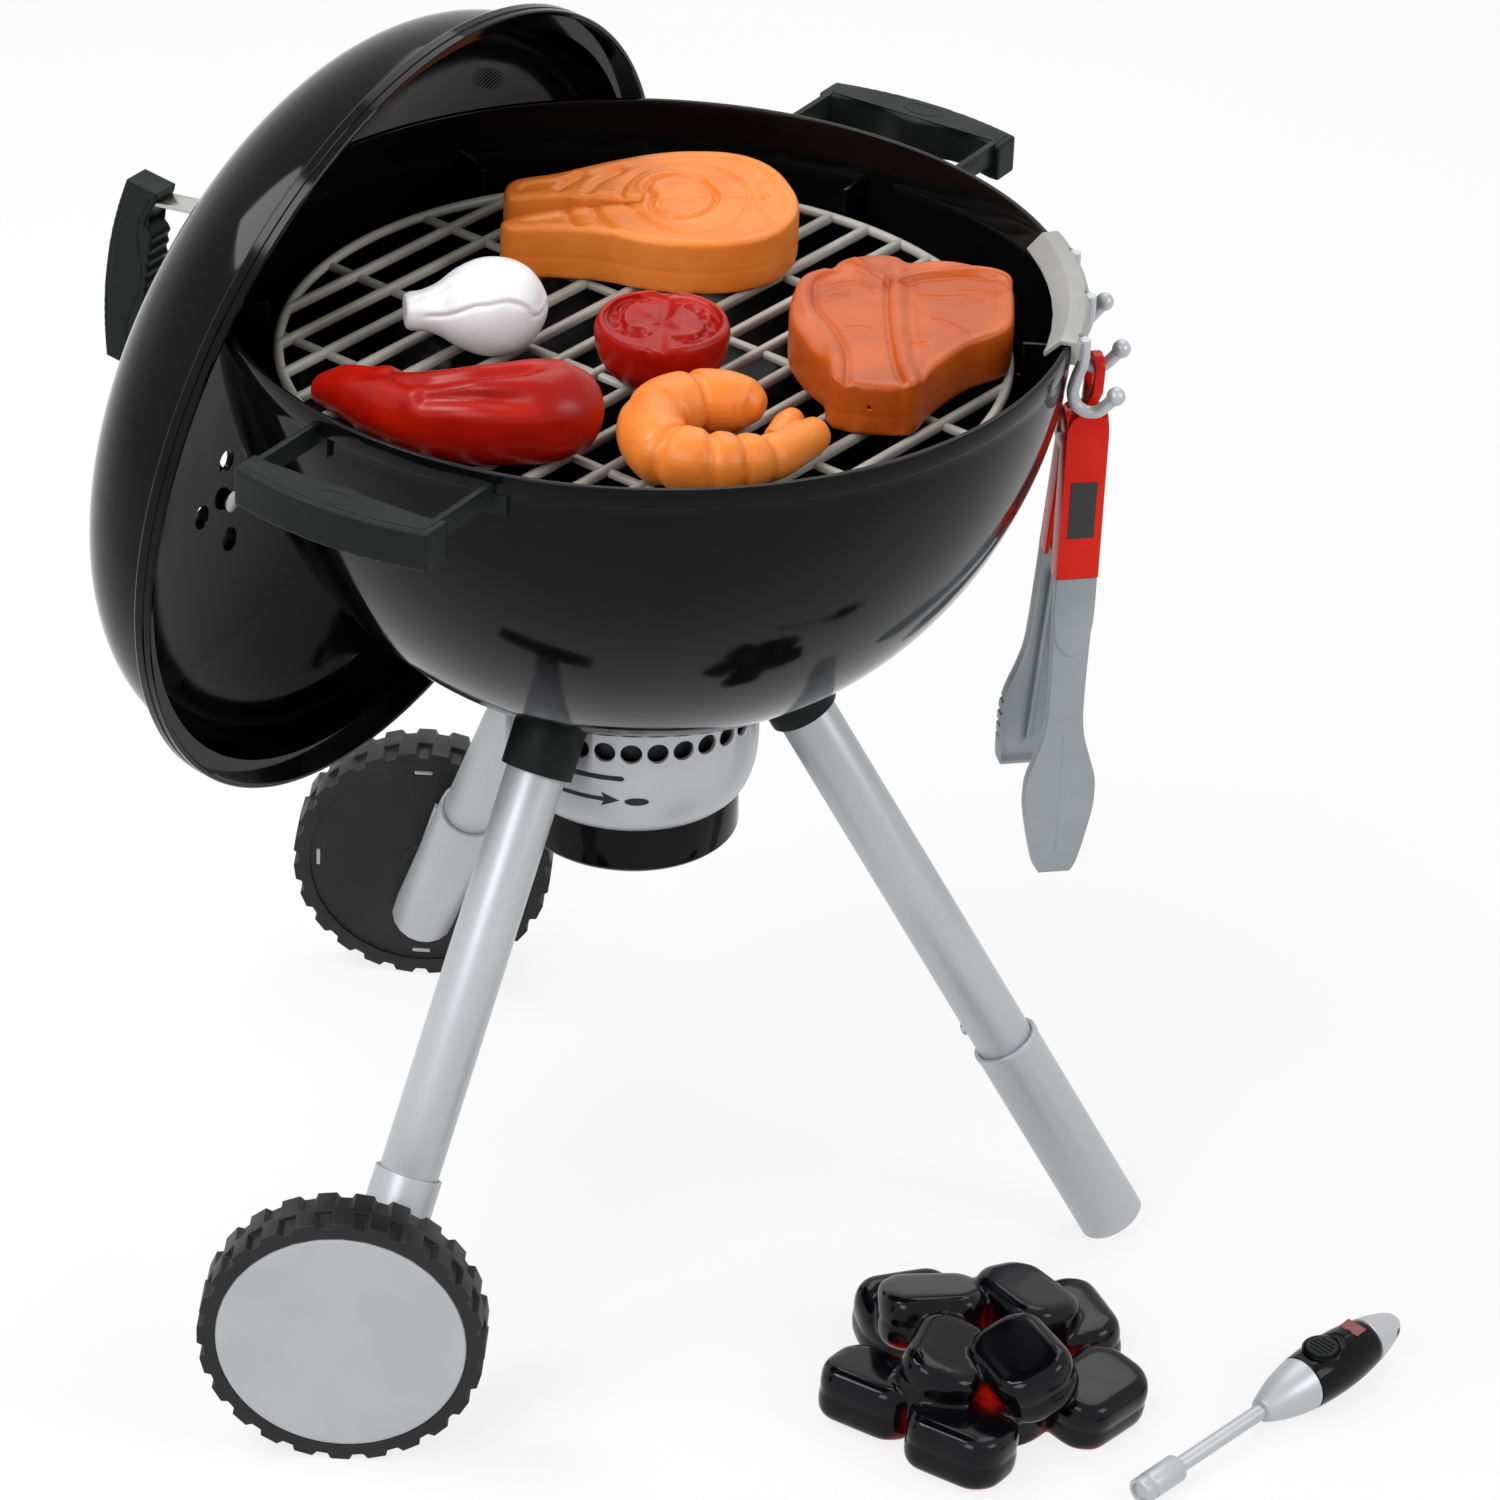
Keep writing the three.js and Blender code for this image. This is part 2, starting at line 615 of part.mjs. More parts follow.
function makeWheelSleeve(leg) {
  const side = wheelSides[leg];
  const face = side * (wheelInnerSide - gap);
  const slope = tan(legLean);
  const crossing = (abs(face) / sin(abs(legTurns[leg])) - legFootRadius) / -slope;
  const low = legPoint(leg, crossing);
  const high = legPoint(leg, sleeveTops[leg] - sleeveGrip);
  const lean = Math.atan2(high.x - low.x, high.z - low.z);
  const padLength = point(high.x - low.x, 0, high.z - low.z).length();
  const half = padWidth / 2;
  const outline = new THREE.Shape();
  outline.absarc(0, 0, half, PI, 2 * PI);
  outline.lineTo(half, padLength);
  outline.lineTo(-half, padLength);
  const pad = prism(outline, padThick).rotateX(PI / 2).rotateY(lean);
  pad.translate(low.x, face + (side < 0 ? padThick : 0), low.z);
  const body = sleeveForm(leg, legPoint(leg, crossing - climb(sleeveRadius / 2)), footChamfer);
  const outside = block(low.x, face + side * sleeveRadius * 2, low.z, sleeveRadius * 8, sleeveRadius * 4,
    sleeveRadius * 16);
  const room = axleRadius + gap;
  const seat = rod(room, point(-wheelBack, side * (wheelInnerSide - axleSeat - gap), axleHeight),
    point(-wheelBack, side * (wheelInnerSide + overrun), axleHeight), 12);
  addPiece(grill, `wheel_sleeve_${leg}`, cut(join(body, pad), outside, seat), silverPlastic);
}

// A ring of tread blocks seen from the side. Blocks and gaps are equally wide, so two rows can stand staggered.
function treadOutline(shift) {
  const half = PI / treadCount;
  const slope = 2 * half * treadSlopeShare;
  const low = wheelRadius - treadDepth;
  const points = [];
  for (let i = 0; i < treadCount; i += 1) {
    const start = 2 * half * (i + shift) - half / 2;
    for (const [radius, angle] of [[wheelRadius, start], [wheelRadius, start + half],
      [low, start + half + slope], [low, start + 2 * half - slope]]) {
      points.push([radius * cos(angle), radius * sin(angle)]);
    }
  }
  return outlineOf(points);
}

function makeWheel(leg) {
  const side = wheelSides[leg];
  const rowWidth = (wheelWidth - treadRib) / 2;
  const outer = prism(treadOutline(0), rowWidth).translate(0, 0, wheelWidth - rowWidth);
  const inner = prism(treadOutline(0.5), rowWidth);
  const middle = disc(wheelRadius, rowWidth, rowWidth + treadRib, 2 * treadCount).rotateZ(PI / treadCount / 2);
  const capSeat = wheelWidth - hubcapThick - gap;
  const hub = disc(hubRadius, 0, capSeat, 16);
  const hollow = cut(disc(wheelRadius - tyreWall - treadDepth, webInset + webThick, wheelWidth + overrun), hub);
  const capRoom = disc(hubcapRadius + gap, capSeat, wheelWidth + overrun);
  const backRoom = cut(disc(hubcapRadius, -overrun, webInset), hub);
  const headRoom = disc(axleHeadRadius + gap, capSeat - axleHeadThick - 2 * gap, wheelWidth, 12);
  const bore = disc(axleRadius + gap, -overrun, wheelWidth, 12);
  let wheel = cut(join(outer, middle, inner), hollow, capRoom, backRoom, headRoom, bore);
  const cap = [disc(hubcapRadius, wheelWidth - hubcapThick, wheelWidth)];
  for (let i = 0; i < 4; i += 1) {
    const turn = i * PI / 2;
    const slot = block(tabPlace, 0, webInset, tabThick + 2 * gap, tabWidth + 2 * gap, webThick * 4);
    wheel = cut(wheel, slot.rotateZ(turn));
    const reach = wheelWidth - hubcapThick - webInset;
    cap.push(block(tabPlace, 0, webInset + reach / 2, tabThick, tabWidth, reach + gap).rotateZ(turn));
  }
  const stand = new THREE.Group();
  stand.position.set(-wheelBack, side * wheelInnerSide, axleHeight);
  stand.rotation.x = -side * PI / 2;
  grill.add(stand);
  addPiece(stand, `wheel_${leg}`, wheel, treadBlack);
  addPiece(stand, `hubcap_${leg}`, join(...cap), paleGrey);
  const headTop = capSeat - gap;
  const pin = revolve([[0, -axleSeat], [axleRadius, -axleSeat], [axleRadius, headTop - axleHeadThick],
    [axleHeadRadius, headTop - axleHeadThick], [axleHeadRadius, headTop], [0, headTop]], 12);
  addPiece(stand, `axle_pin_${leg}`, pin, steel);
}

// A moulded grip seen from its side: it runs along x, and y leads away from the piece that it serves
function gripOutlinePoints(half, depth, bulge, valley, valleyPlace, ridges) {
  const points = [[-half, 0]];
  const steps = 12;
  for (let i = 1; i < steps; i += 1) {
    const x = -half + 2 * half * i / steps;
    const wave = 1 - cos(2 * PI * Math.min(half - abs(x), half - valleyPlace) / (half - valleyPlace) / 2);
    const inwards = abs(x) > valleyPlace ? wave / 2 : (1 - cos(PI * x / valleyPlace)) / 2;
    if (!ridges || abs(x) > ridges.count * ridges.pitch / 2) points.push([x, valley * inwards]);
    else if (points.every(([, , mark]) => !mark)) {
      for (let k = 0; k < ridges.count; k += 1) {
        const start = (k - ridges.count / 2) * ridges.pitch;
        points.push([start, ridges.depth, true], [start + ridges.pitch / 2, 0, true]);
      }
    }
  }
  points.push([half, 0]);
  const arcSteps = 8;
  for (let i = 0; i <= arcSteps; i += 1) {
    const x = half - 2 * half * i / arcSteps;
    points.push([x, depth + bulge * (1 - (x / half) ** 2)]);
  }
  return points;
}

function makeHandle(side) {
  const holder = new THREE.Group();
  holder.rotation.z = handleTurns[side];
  grill.add(holder);
  const top = rimHeight - gripTopDrop;
  const armEnd = gripInner + armSeat;
  const outline = outlineOf(gripOutlinePoints(gripHalf, gripDepth, gripBulge, gripValley, gripValleyPlace));
  let grip = solidOf(prism(outline, gripHeight, gripRound).rotateZ(-PI / 2)
    .translate(gripInner, 0, top - gripHeight));
  const cutter = bowlBlank(gap).rotateZ(-handleTurns[side]);
  for (const [name, hand] of [['left', -1], ['right', 1]]) {
    const y = hand * armPlace;
    const reach = armEnd - bodyRadius / 2;
    const arm = block(armEnd - reach / 2, y, top - armHeight / 2, reach, armThick, armHeight);
    const footRing = ring(bodyRadius + gap / 2, bodyRadius + gap + armFootThick, rimHeight - rimBand - gap
      - armFootHeight, rimHeight - rimBand - gap).rotateZ(-handleTurns[side]);
    const foot = common(footRing, block(bodyRadius, y, top, bodyRadius, armFootWidth, armHeight * 4));
    addPiece(holder, `handle_arm_${side}_${name}`, cut(join(arm, foot), cutter), satinBlack);
    grip = cut(grip, block(armEnd + gap - reach / 2, y, top - armHeight / 2, reach, armThick + 2 * gap,
      armHeight + 2 * gap));
  }
  addPiece(holder, `handle_grip_${side}`, grip, satinBlack);
}

// The ash catcher: a turning band under the bowl and a cup that pulls down out of it
const bandTop = floorHeight - bandClear;
const bandLow = bandTop - bandHeight;

function makeAshCatcher() {
  const skirt = bandMouthShares.map(([out, up]) => [bandMouthRadius + (bandRadius - bandMouthRadius) * out,
    bandLow + bandHeight * up]);
  const lining = skirt.filter((_, i) => i !== 1).map(([radius, height]) => [radius - bandWall, height]).reverse();
  const lip = bandMouthRadius - bandWall;
  const hub = bossRadius + gap;
  const band = revolve([...skirt, [bandRadius, bandTop], [bandRadius - bandWall, bandTop],
    [bandRadius - bandWall, webTop], [hub, webTop], [hub, webLow], [bandRadius - bandWall, webLow],
    ...lining, [bandMouthRadius, bandLow]]);
  addPiece(grill, 'ash_band', band, silverPlastic);

  const washerTop = webLow - gap;
  const washerLow = washerTop - washerThick;
  addPiece(grill, 'ash_washer', ring(screwRadius + gap, washerRadius, washerLow, washerTop, 24), steel);
  const headTop = washerLow - gap;
  addPiece(grill, 'ash_screw', revolve([[0, headTop - screwHeadThick], [screwHeadRadius, headTop - screwHeadThick],
    [screwHeadRadius, headTop], [screwRadius, headTop], [screwRadius, washerLow + screwLength - overrun / 2],
    [0, washerLow + screwLength - overrun / 2]], 12), steel);

  const shoulder = bandLow - gap;
  const base = shoulder - cupHeight;
  const neck = lip - gap;
  addPiece(grill, 'ash_cup', revolve([[0, base], [cupBaseRadius - cupCorner, base],
    [cupBaseRadius, base + cupCorner], [cupRadius, shoulder], [neck, shoulder], [neck, shoulder + cupNeck],
    [neck - cupWall, shoulder + cupNeck], [neck - cupWall, shoulder - cupWall],
    [cupBaseRadius - cupWall, base + cupCorner + cupWall / 2],
    [cupBaseRadius - cupCorner - cupWall, base + cupWall], [0, base + cupWall]]), glossBlack);
}

// The grate: a ring with bars one way and a few under-bars the other way
function makeGrate() {
  const inner = grateRadius - grateRingWidth;
  const middle = grateRadius - grateRingWidth / 2;
  const top = grateTop - grateLow;
  const half = barWidth / 2;
  const section = outlineOf([[-half, 0], [half, 0], [half, top - half / 2], [half / 2, top],
    [-half / 2, top], [-half, top - half / 2]]);
  let grate = solidOf(ring(inner, grateRadius, 0, top - gap));
  const count = Math.floor(inner / barPitch);
  for (let i = -count; i <= count; i += 1) {
    const reach = sqrt(middle ** 2 - (i * barPitch) ** 2);
    const bar = prism(section, 2 * reach).rotateX(PI / 2).translate(i * barPitch, reach, 0);
    grate = join(grate, bar.rotateZ(barTurn - PI / 2));
  }
  for (const place of crossBarShares) {
    const reach = sqrt(middle ** 2 - (place * grateRadius) ** 2);
    const bar = block(place * grateRadius, 0, crossBarHeight / 2, crossBarWidth, 2 * reach, crossBarHeight);
    grate = join(grate, bar.rotateZ(barTurn));
  }
  addPiece(grill, 'grate', grate.translate([0, 0, grateLow]), grateGrey);
}

// Pretend food, each piece moulded in one and lying on the bars
const tableHeight = grateTop + gap;
const smooth = (points) => new THREE.CatmullRomCurve3(points, false, 'centripetal');

function foodGroup(name) {
  const holder = new THREE.Group();
  const [x, y] = foodPlaceShares[name];
  holder.position.set(x * grateRadius, y * grateRadius, tableHeight);
  grill.add(holder);
  return holder;
}

function sharedOutline(shares, length, width) {
  return outlineOf(shares.map(([x, y]) => [x * length, y * width]).reverse());
}

const underside = (size) => block(0, 0, -size, size * 4, size * 4, size * 2);

function makeFood() {
  const fish = sharedOutline(fishShares, fishLength, fishWidth);
  addPiece(foodGroup('fish'), 'fish_steak', prism(fish, fishHeight, fishRound), fishOrange);
  const steak = sharedOutline(steakShares, steakWidth, steakLength);
  addPiece(foodGroup('steak'), 't_bone_steak', prism(steak, steakHeight, steakRound), steakBrown);

  const skin = tomatoShares.map(([out, up]) => [out * tomatoRadius, up * tomatoHeight]);
  const face = tomatoHeight - tomatoRecess;
  const faceRadius = tomatoRadius - tomatoRim;
  addPiece(foodGroup('tomato'), 'tomato_half', revolve([...skin, [faceRadius, tomatoHeight],
    [faceRadius - tomatoRecess, face], [0, face]], 24), foodRed);

  const clove = garlicShares.map(([up, out]) => [out * garlicRadius, up * garlicLength]);
  const bulb = revolve([[0, 0], ...clove, [0, garlicLength]], 16).rotateY(PI / 2);
  bulb.translate(-garlicLength / 2, 0, garlicRadius - gap).rotateZ(garlicTurn);
  addPiece(foodGroup('garlic'), 'garlic_bulb', cut(bulb, underside(garlicLength)), garlicWhite);

  const pepperAt = (t) => readShares(pepperRadiusShares, t) * pepperRadius;
  const pepperRoute = pepperRouteShares.map(([x, y], i) => point(x * pepperLength, y * pepperLength,
    pepperRadiusShares[i] * pepperRadius - gap));
  const lobes = (angle) => 1 + pepperLobeShare * cos(pepperLobes * angle);
  const pepper = loft(smooth(pepperRoute), pepperAt, 11, 16, lobes);
  addPiece(foodGroup('pepper'), 'red_pepper', cut(pepper, underside(pepperLength)), foodRed);

  const shrimpAt = (t) => readShares(shrimpRadiusShares, t) * shrimpRadius
    * (1 - shrimpWaistShare * (1 + cos(2 * PI * shrimpSegments * t)) / 2);
  const shrimpRoute = shrimpRouteShares.map(([x, y], i) => point(x * shrimpLength, y * shrimpLength,
    shrimpRadiusShares[i] * shrimpRadius - gap));
  const shrimp = loft(smooth(shrimpRoute), shrimpAt, 28, 8);
  addPiece(foodGroup('shrimp'), 'shrimp', cut(shrimp, underside(shrimpLength)), fishOrange);
}

// The lid's curve in its own frame
const domeHeight = (radius) => lipDepth + domeDepth * (1 - (radius / domeRadius) ** domePower) ** (1 / domePower);
const lidDepth = lipDepth + domeDepth;

function domeCurve(growth, steps, start = 0) {
  const [radius, depth] = [domeRadius + growth, domeDepth + growth];
  const points = [];
  for (let i = start; i <= steps; i += 1) {
    const angle = PI / 2 * (i / steps);
    points.push([radius * cos(angle) ** (2 / domePower), lipDepth + depth * sin(angle) ** (2 / domePower)]);
  }
  points[points.length - 1][0] = 0;
  return points;
}

const towardTop = along(lidTurn, cos(lidLift), sin(lidLift));
const lidUp = along(lidTurn, -sin(lidLift), cos(lidLift));
const lidSide = new THREE.Vector3().crossVectors(lidUp, towardTop);
const rimTouch = along(lidTurn, rimRadius, rimHeight);
const lidRestUp = domeRadius * lidRestShare;
const lidRestDepth = domeHeight(lidRestUp) - lidRestRoom;
const lidCentre = rimTouch.clone().addScaledVector(towardTop, -lidRestDepth).addScaledVector(lidUp, -lidRestUp)
  .addScaledVector(lidSide, -lidRestSide);
const lidMatrix = new THREE.Matrix4().makeBasis(lidSide, lidUp, towardTop).setPosition(lidCentre);

const lid = new THREE.Group();
lid.applyMatrix4(lidMatrix);
grill.add(lid);

// The vent stands square to the dome where it sits
const ventRadius = hypot(ventUp, ventSide);
const ventSlope = (domeHeight(ventRadius + 1) - domeHeight(ventRadius - 1)) / 2;
const ventOut = point(-ventSlope * ventSide / ventRadius, -ventSlope * ventUp / ventRadius, 1).normalize();
const ventBase = point(ventSide, ventUp, domeHeight(ventRadius));
const onVent = (geometry) => aim(geometry, ventBase, ventBase.clone().add(ventOut));

function ventHoles(radius, low, high, turn) {
  const holes = [];
  for (let i = 0; i < ventCount; i += 1) {
    const hole = disc(radius, low, high, 12).translate(ventCircle, 0, 0);
    holes.push(hole.rotateZ(turn + 2 * PI * i / ventCount));
  }
  return holes;
}

function makeLidShell() {
  const inner = lipRadius - lidWall;
  const notch = lipRadius - lipGroove;
  const inside = domeCurve(-lidWall, curveSteps).reverse();
  const shell = revolve([...inside, [domeRadius - lidWall, lipLedge], [inner, lipLedge], [inner, 0],
    [lipRadius, 0], [lipRadius, lipGroovePlace], [notch, lipGroovePlace + lipGroove],
    [lipRadius, lipGroovePlace + lipGrooveWidth], [lipRadius, lipDepth - lipGroove],
    [lipRadius - lipGroove, lipDepth], ...domeCurve(0, curveSteps)]);
  const pad = onVent(disc(ventPadRadius, -lidWall, ventPadProud, 24));
  const outerBlank = revolve([[0, 0], [lipRadius, 0], [lipRadius, lipDepth], ...domeCurve(-lidWall / 2, curveSteps)]);
  const cavity = cut(pad, outerBlank);
  const holes = ventHoles(ventHoleRadius, -overrun * 2, overrun, 0).map(onVent);
  const rivetHole = onVent(disc(rivetRadius + gap, -overrun * 2, overrun, 12));
  const screwHoles = [1, -1].map((hand) => strapScrew(hand, gap));
  addPiece(lid, 'lid_shell', cut(join(shell, cavity), ...holes, rivetHole, ...screwHoles), glossBlack);
}

function makeDamper() {
  const low = ventPadProud + gap;
  const high = low + damperThick;
  const tab = block(damperRadius - damperTabLength / 2, 0, high + damperTabHeight / 2 - gap, damperTabLength,
    armThick, damperTabHeight);
  const plate = join(disc(damperRadius, low, high, 24), tab);
  const holes = ventHoles(ventHoleRadius, low - overrun, high + overrun, damperTurn);
  const damper = cut(plate, ...holes, disc(rivetRadius + gap, low - overrun, high + overrun, 12));
  addPiece(lid, 'lid_damper', onVent(geometryOf(damper)), steel);
  const head = high + gap;
  const tail = -lidWall - rivetSlack;
  addPiece(lid, 'damper_rivet', onVent(revolve([[0, tail - rivetHeadThick], [rivetHeadRadius, tail
    - rivetHeadThick], [rivetHeadRadius, tail], [rivetRadius, tail], [rivetRadius, head],
    [rivetHeadRadius, head], [rivetHeadRadius, head + rivetHeadThick], [0, head + rivetHeadThick]], 12)), steel);
}

// A screw through a strap foot and the dome; hand is 1 above the middle and -1 below it
const strapFootMiddle = strapDomePlace - strapFoot * strapScrewShare;

function strapScrew(hand, growth) {
  const middle = strapFootMiddle;
  const slope = (domeHeight(middle + 1) - domeHeight(middle - 1)) / 2;
  const head = strapThick + 2 * gap;
  const screw = revolve([[0, -overrun], [screwRadius + growth, -overrun], [screwRadius + growth, head],
    [strapScrewHead, head], [strapScrewHead, head + screwHeadThick], [0, head + screwHeadThick]], 10);
  const base = point(0, hand * middle, domeHeight(middle));
  return aim(screw, base, base.clone().add(point(0, -hand * slope, 1)));
}

function makeLidHandle() {
  const gripLow = lidDepth + lidGripRise;
  const domeBlank = revolve([[0, 0], [domeRadius + gap, 0], ...domeCurve(gap, curveSteps)]);
  const ridges = { count: lidGripRidges, pitch: lidGripRidgePitch, depth: lidGripRidgeDepth };
  const outline = outlineOf(gripOutlinePoints(lidGripHalf, lidGripDepth, gripBulge, gripValley,
    gripValleyPlace + gripRound, ridges));
  let grip = solidOf(prism(outline, lidGripWidth, gripRound, 1).rotateX(PI / 2).rotateZ(PI / 2)
    .translate(-lidGripWidth / 2, 0, gripLow));
  const foot = strapDomePlace - strapFoot;
  const lift = strapThick / 2 + gap;
  const topPlace = strapGripPlace - strapSeat * (strapDomePlace - strapGripPlace) / lidGripRise;
  const line = [[topPlace, gripLow + strapSeat], [strapDomePlace, domeHeight(strapDomePlace) + lift],
    [foot, domeHeight(foot) + lift]];
  for (const [name, hand] of [['upper', 1], ['lower', -1]]) {
    const strap = prism(stripOutline(line, strapThick), strapWidth).rotateX(PI / 2).rotateZ(PI / 2)
      .translate(-strapWidth / 2, 0, 0);
    const room = prism(stripOutline([[topPlace - gap / 2, gripLow + strapSeat + gap], line[1]],
      strapThick + 2 * gap), strapWidth + 2 * gap).rotateX(PI / 2).rotateZ(PI / 2)
      .translate(-strapWidth / 2 - gap, 0, 0);
    if (hand < 0) {
      strap.rotateZ(PI);
      room.rotateZ(PI);
    }
    grip = cut(grip, room);
    addPiece(lid, `lid_strap_${name}`, cut(strap, domeBlank, strapScrew(hand, gap)), steel);
    addPiece(lid, `strap_screw_${name}`, strapScrew(hand, 0), steel);
  }
  addPiece(lid, 'lid_grip', grip, satinBlack);
}

// The hook inside the lid that hangs it on the bowl's rim
function makeLidHook() {
  const lipOuter = rimRadius - rimThick - hookSlack;
  const lipInner = lipOuter - hookLipThick;
  const shelf = rimHeight + gap;
  const rise = rimHeight + hookRise;
  const outline = outlineOf([[lipInner, rimHeight - hookLip], [lipOuter, rimHeight - hookLip],
    [lipOuter, shelf], [rimRadius + hookRise, shelf], [rimRadius + hookRise, rise],
    [lipInner - hookPlate / 2, rise], [lipInner, shelf + hookPlate]]);
  const blank = prism(outline, hookWidth).rotateX(PI / 2).translate(0, hookWidth / 2, 0).rotateZ(lidTurn);
  const cavity = revolve([[0, 0], [domeRadius - lidWall - gap, 0], ...domeCurve(-lidWall - gap, curveSteps)]);
  addPiece(grill, 'lid_hook', common(blank, cavity.applyMatrix4(lidMatrix)), satinBlack);
}

// The tool clip that sits over the rim, and its three hooks
function hookRoute(turn) {
  return toolHookRouteShares.map(([out, down]) => along(turn, toolHookInner + out * toolHookWidth,
    rimHeight + clipTopThick - down * toolHookDrop));
}

function tubeAlong(route, radius, sides = 6, steps = 11) {
  const points = [];
  for (let i = 0; i < sides; i += 1) {
    points.push([radius * cos(2 * PI * i / sides), radius * sin(2 * PI * i / sides)]);
  }
  return new THREE.ExtrudeGeometry(outlineOf(points), { steps, extrudePath: smooth(route) });
}

function sector(start, end, radius, low, high) {
  const outline = outlineOf([[0, 0], [radius * cos(start), radius * sin(start)],
    [radius * cos(end), radius * sin(end)]]);
  return prism(outline, high - low).translate(0, 0, low);
}

function makeToolClip() {
  const inside = (rimRadius - rimThick) * cos(PI / roundSides) - gap;
  const outside = rimRadius + 1.5 * gap;
  const under = rimHeight + gap;
  const top = under + clipTopThick;
  const low = rimHeight - clipOuterDrop;
  const skirt = clipThick * clipSlantShare;
  const saddle = revolve([[outside, low], [outside + clipThick, low], [outside + clipTopOut, under],
    [outside + clipTopOut - clipTopThick, top], [inside - skirt, top],
    [inside - skirt - clipInnerReach, top - clipInnerReach], [inside - clipInnerReach, under - clipInnerReach],
    [inside, under], [outside, under], [outside, low]], 72);
  let clip = common(saddle, sector(clipStart, clipEnd, rimRadius * 2, low - overrun, top + overrun));
  for (const [name, turn] of Object.entries(toolHookTurns)) {
    const route = hookRoute(turn);
    const bossOut = hypot(route[0].x, route[0].y);
    const boss = block((outside + bossOut) / 2, 0, low + hookBossHeight / 2, bossOut - outside, hookBossWidth,
      hookBossHeight).rotateZ(turn);
    const longRoute = [route[0].clone().add(point(0, 0, overrun)), ...route.slice(1)];
    const room = tubeAlong(longRoute, toolHookRadius + 1.5 * gap);
    clip = cut(join(clip, boss), room);
    const wire = tubeAlong(route, toolHookRadius);
    const ball = new THREE.SphereGeometry(toolHookBall, 8, 6);
    const tip = route[route.length - 1];
    addPiece(grill, `tool_hook_${name}`, join(wire, ball.translate(tip.x, tip.y, tip.z)), silverPlastic);
  }
  addPiece(grill, 'tool_clip', clip, paleGrey);
}

// The tongs, about their pivot: x across an arm, y from the front arm to the rear one, -z down the arms
const hookLow = rimHeight + clipTopThick - toolHookDrop;
const pivotHeight = hookLow - tongsPivotDrop;
const tongs = new THREE.Group();
tongs.position.copy(along(tongsPlace, tongsReach, pivotHeight));
tongs.rotation.order = 'ZYX';
tongs.rotation.set(0, tongsTilt, tongsTurn);
grill.add(tongs);

// A plate lying in the xz plane, its thickness running from y to y + thick
function plateAt(outline, y, thick) {
  return prism(outline, thick).rotateX(PI / 2).translate(0, y + thick, 0);
}

function armOutline(half, length, headRadius, inset) {
  const shape = new THREE.Shape();
  shape.moveTo(-half + inset, -length);
  shape.lineTo(half - inset, -length);
  shape.lineTo(half - inset, 0);
  shape.absarc(0, 0, headRadius - inset, 0, PI);
  return shape;
}

function bladeOutline(shares, half, length, inset) {
  const right = shares.map(([down, out]) => [out * half - inset, -tongsGripLength - gap - inset
    - down * (length - 2 * inset)]);
  const left = right.map(([x, z]) => [-x, z]);
  return outlineOf([...left, ...right.reverse()]);
}

function channelArm(half, face, depth, hand) {
  const body = plateAt(armOutline(half, tongsGripLength, half, 0), Math.min(face, face + hand * depth), depth);
  const hollowLow = face + hand * tongsWall;
  const hollowHigh = face + hand * (depth + overrun);
  const hollow = plateAt(armOutline(half, tongsGripLength + overrun, half, tongsWall),
    Math.min(hollowLow, hollowHigh), abs(hollowHigh - hollowLow));
  return cut(body, hollow);
}

function blade(shares, half, length, face, hand, tongueHalf) {
  const body = plateAt(bladeOutline(shares, half, length, 0), Math.min(face, face + hand * bladeDepth),
    bladeDepth);
  const hollowLow = face + hand * bladeWall;
  const hollow = plateAt(bladeOutline(shares, half, length, bladeWall),
    Math.min(hollowLow, hollowLow + hand * bladeDepth), bladeDepth);
  const tongueFace = face + hand * (tongsWall + gap);
  const tongue = block(0, tongueFace + hand * bladeWall / 2, -tongsGripLength + tongueLength / 2 - bladeDepth,
    2 * tongueHalf, bladeWall, tongueLength + 2 * bladeDepth);
  return join(cut(body, hollow), tongue);
}

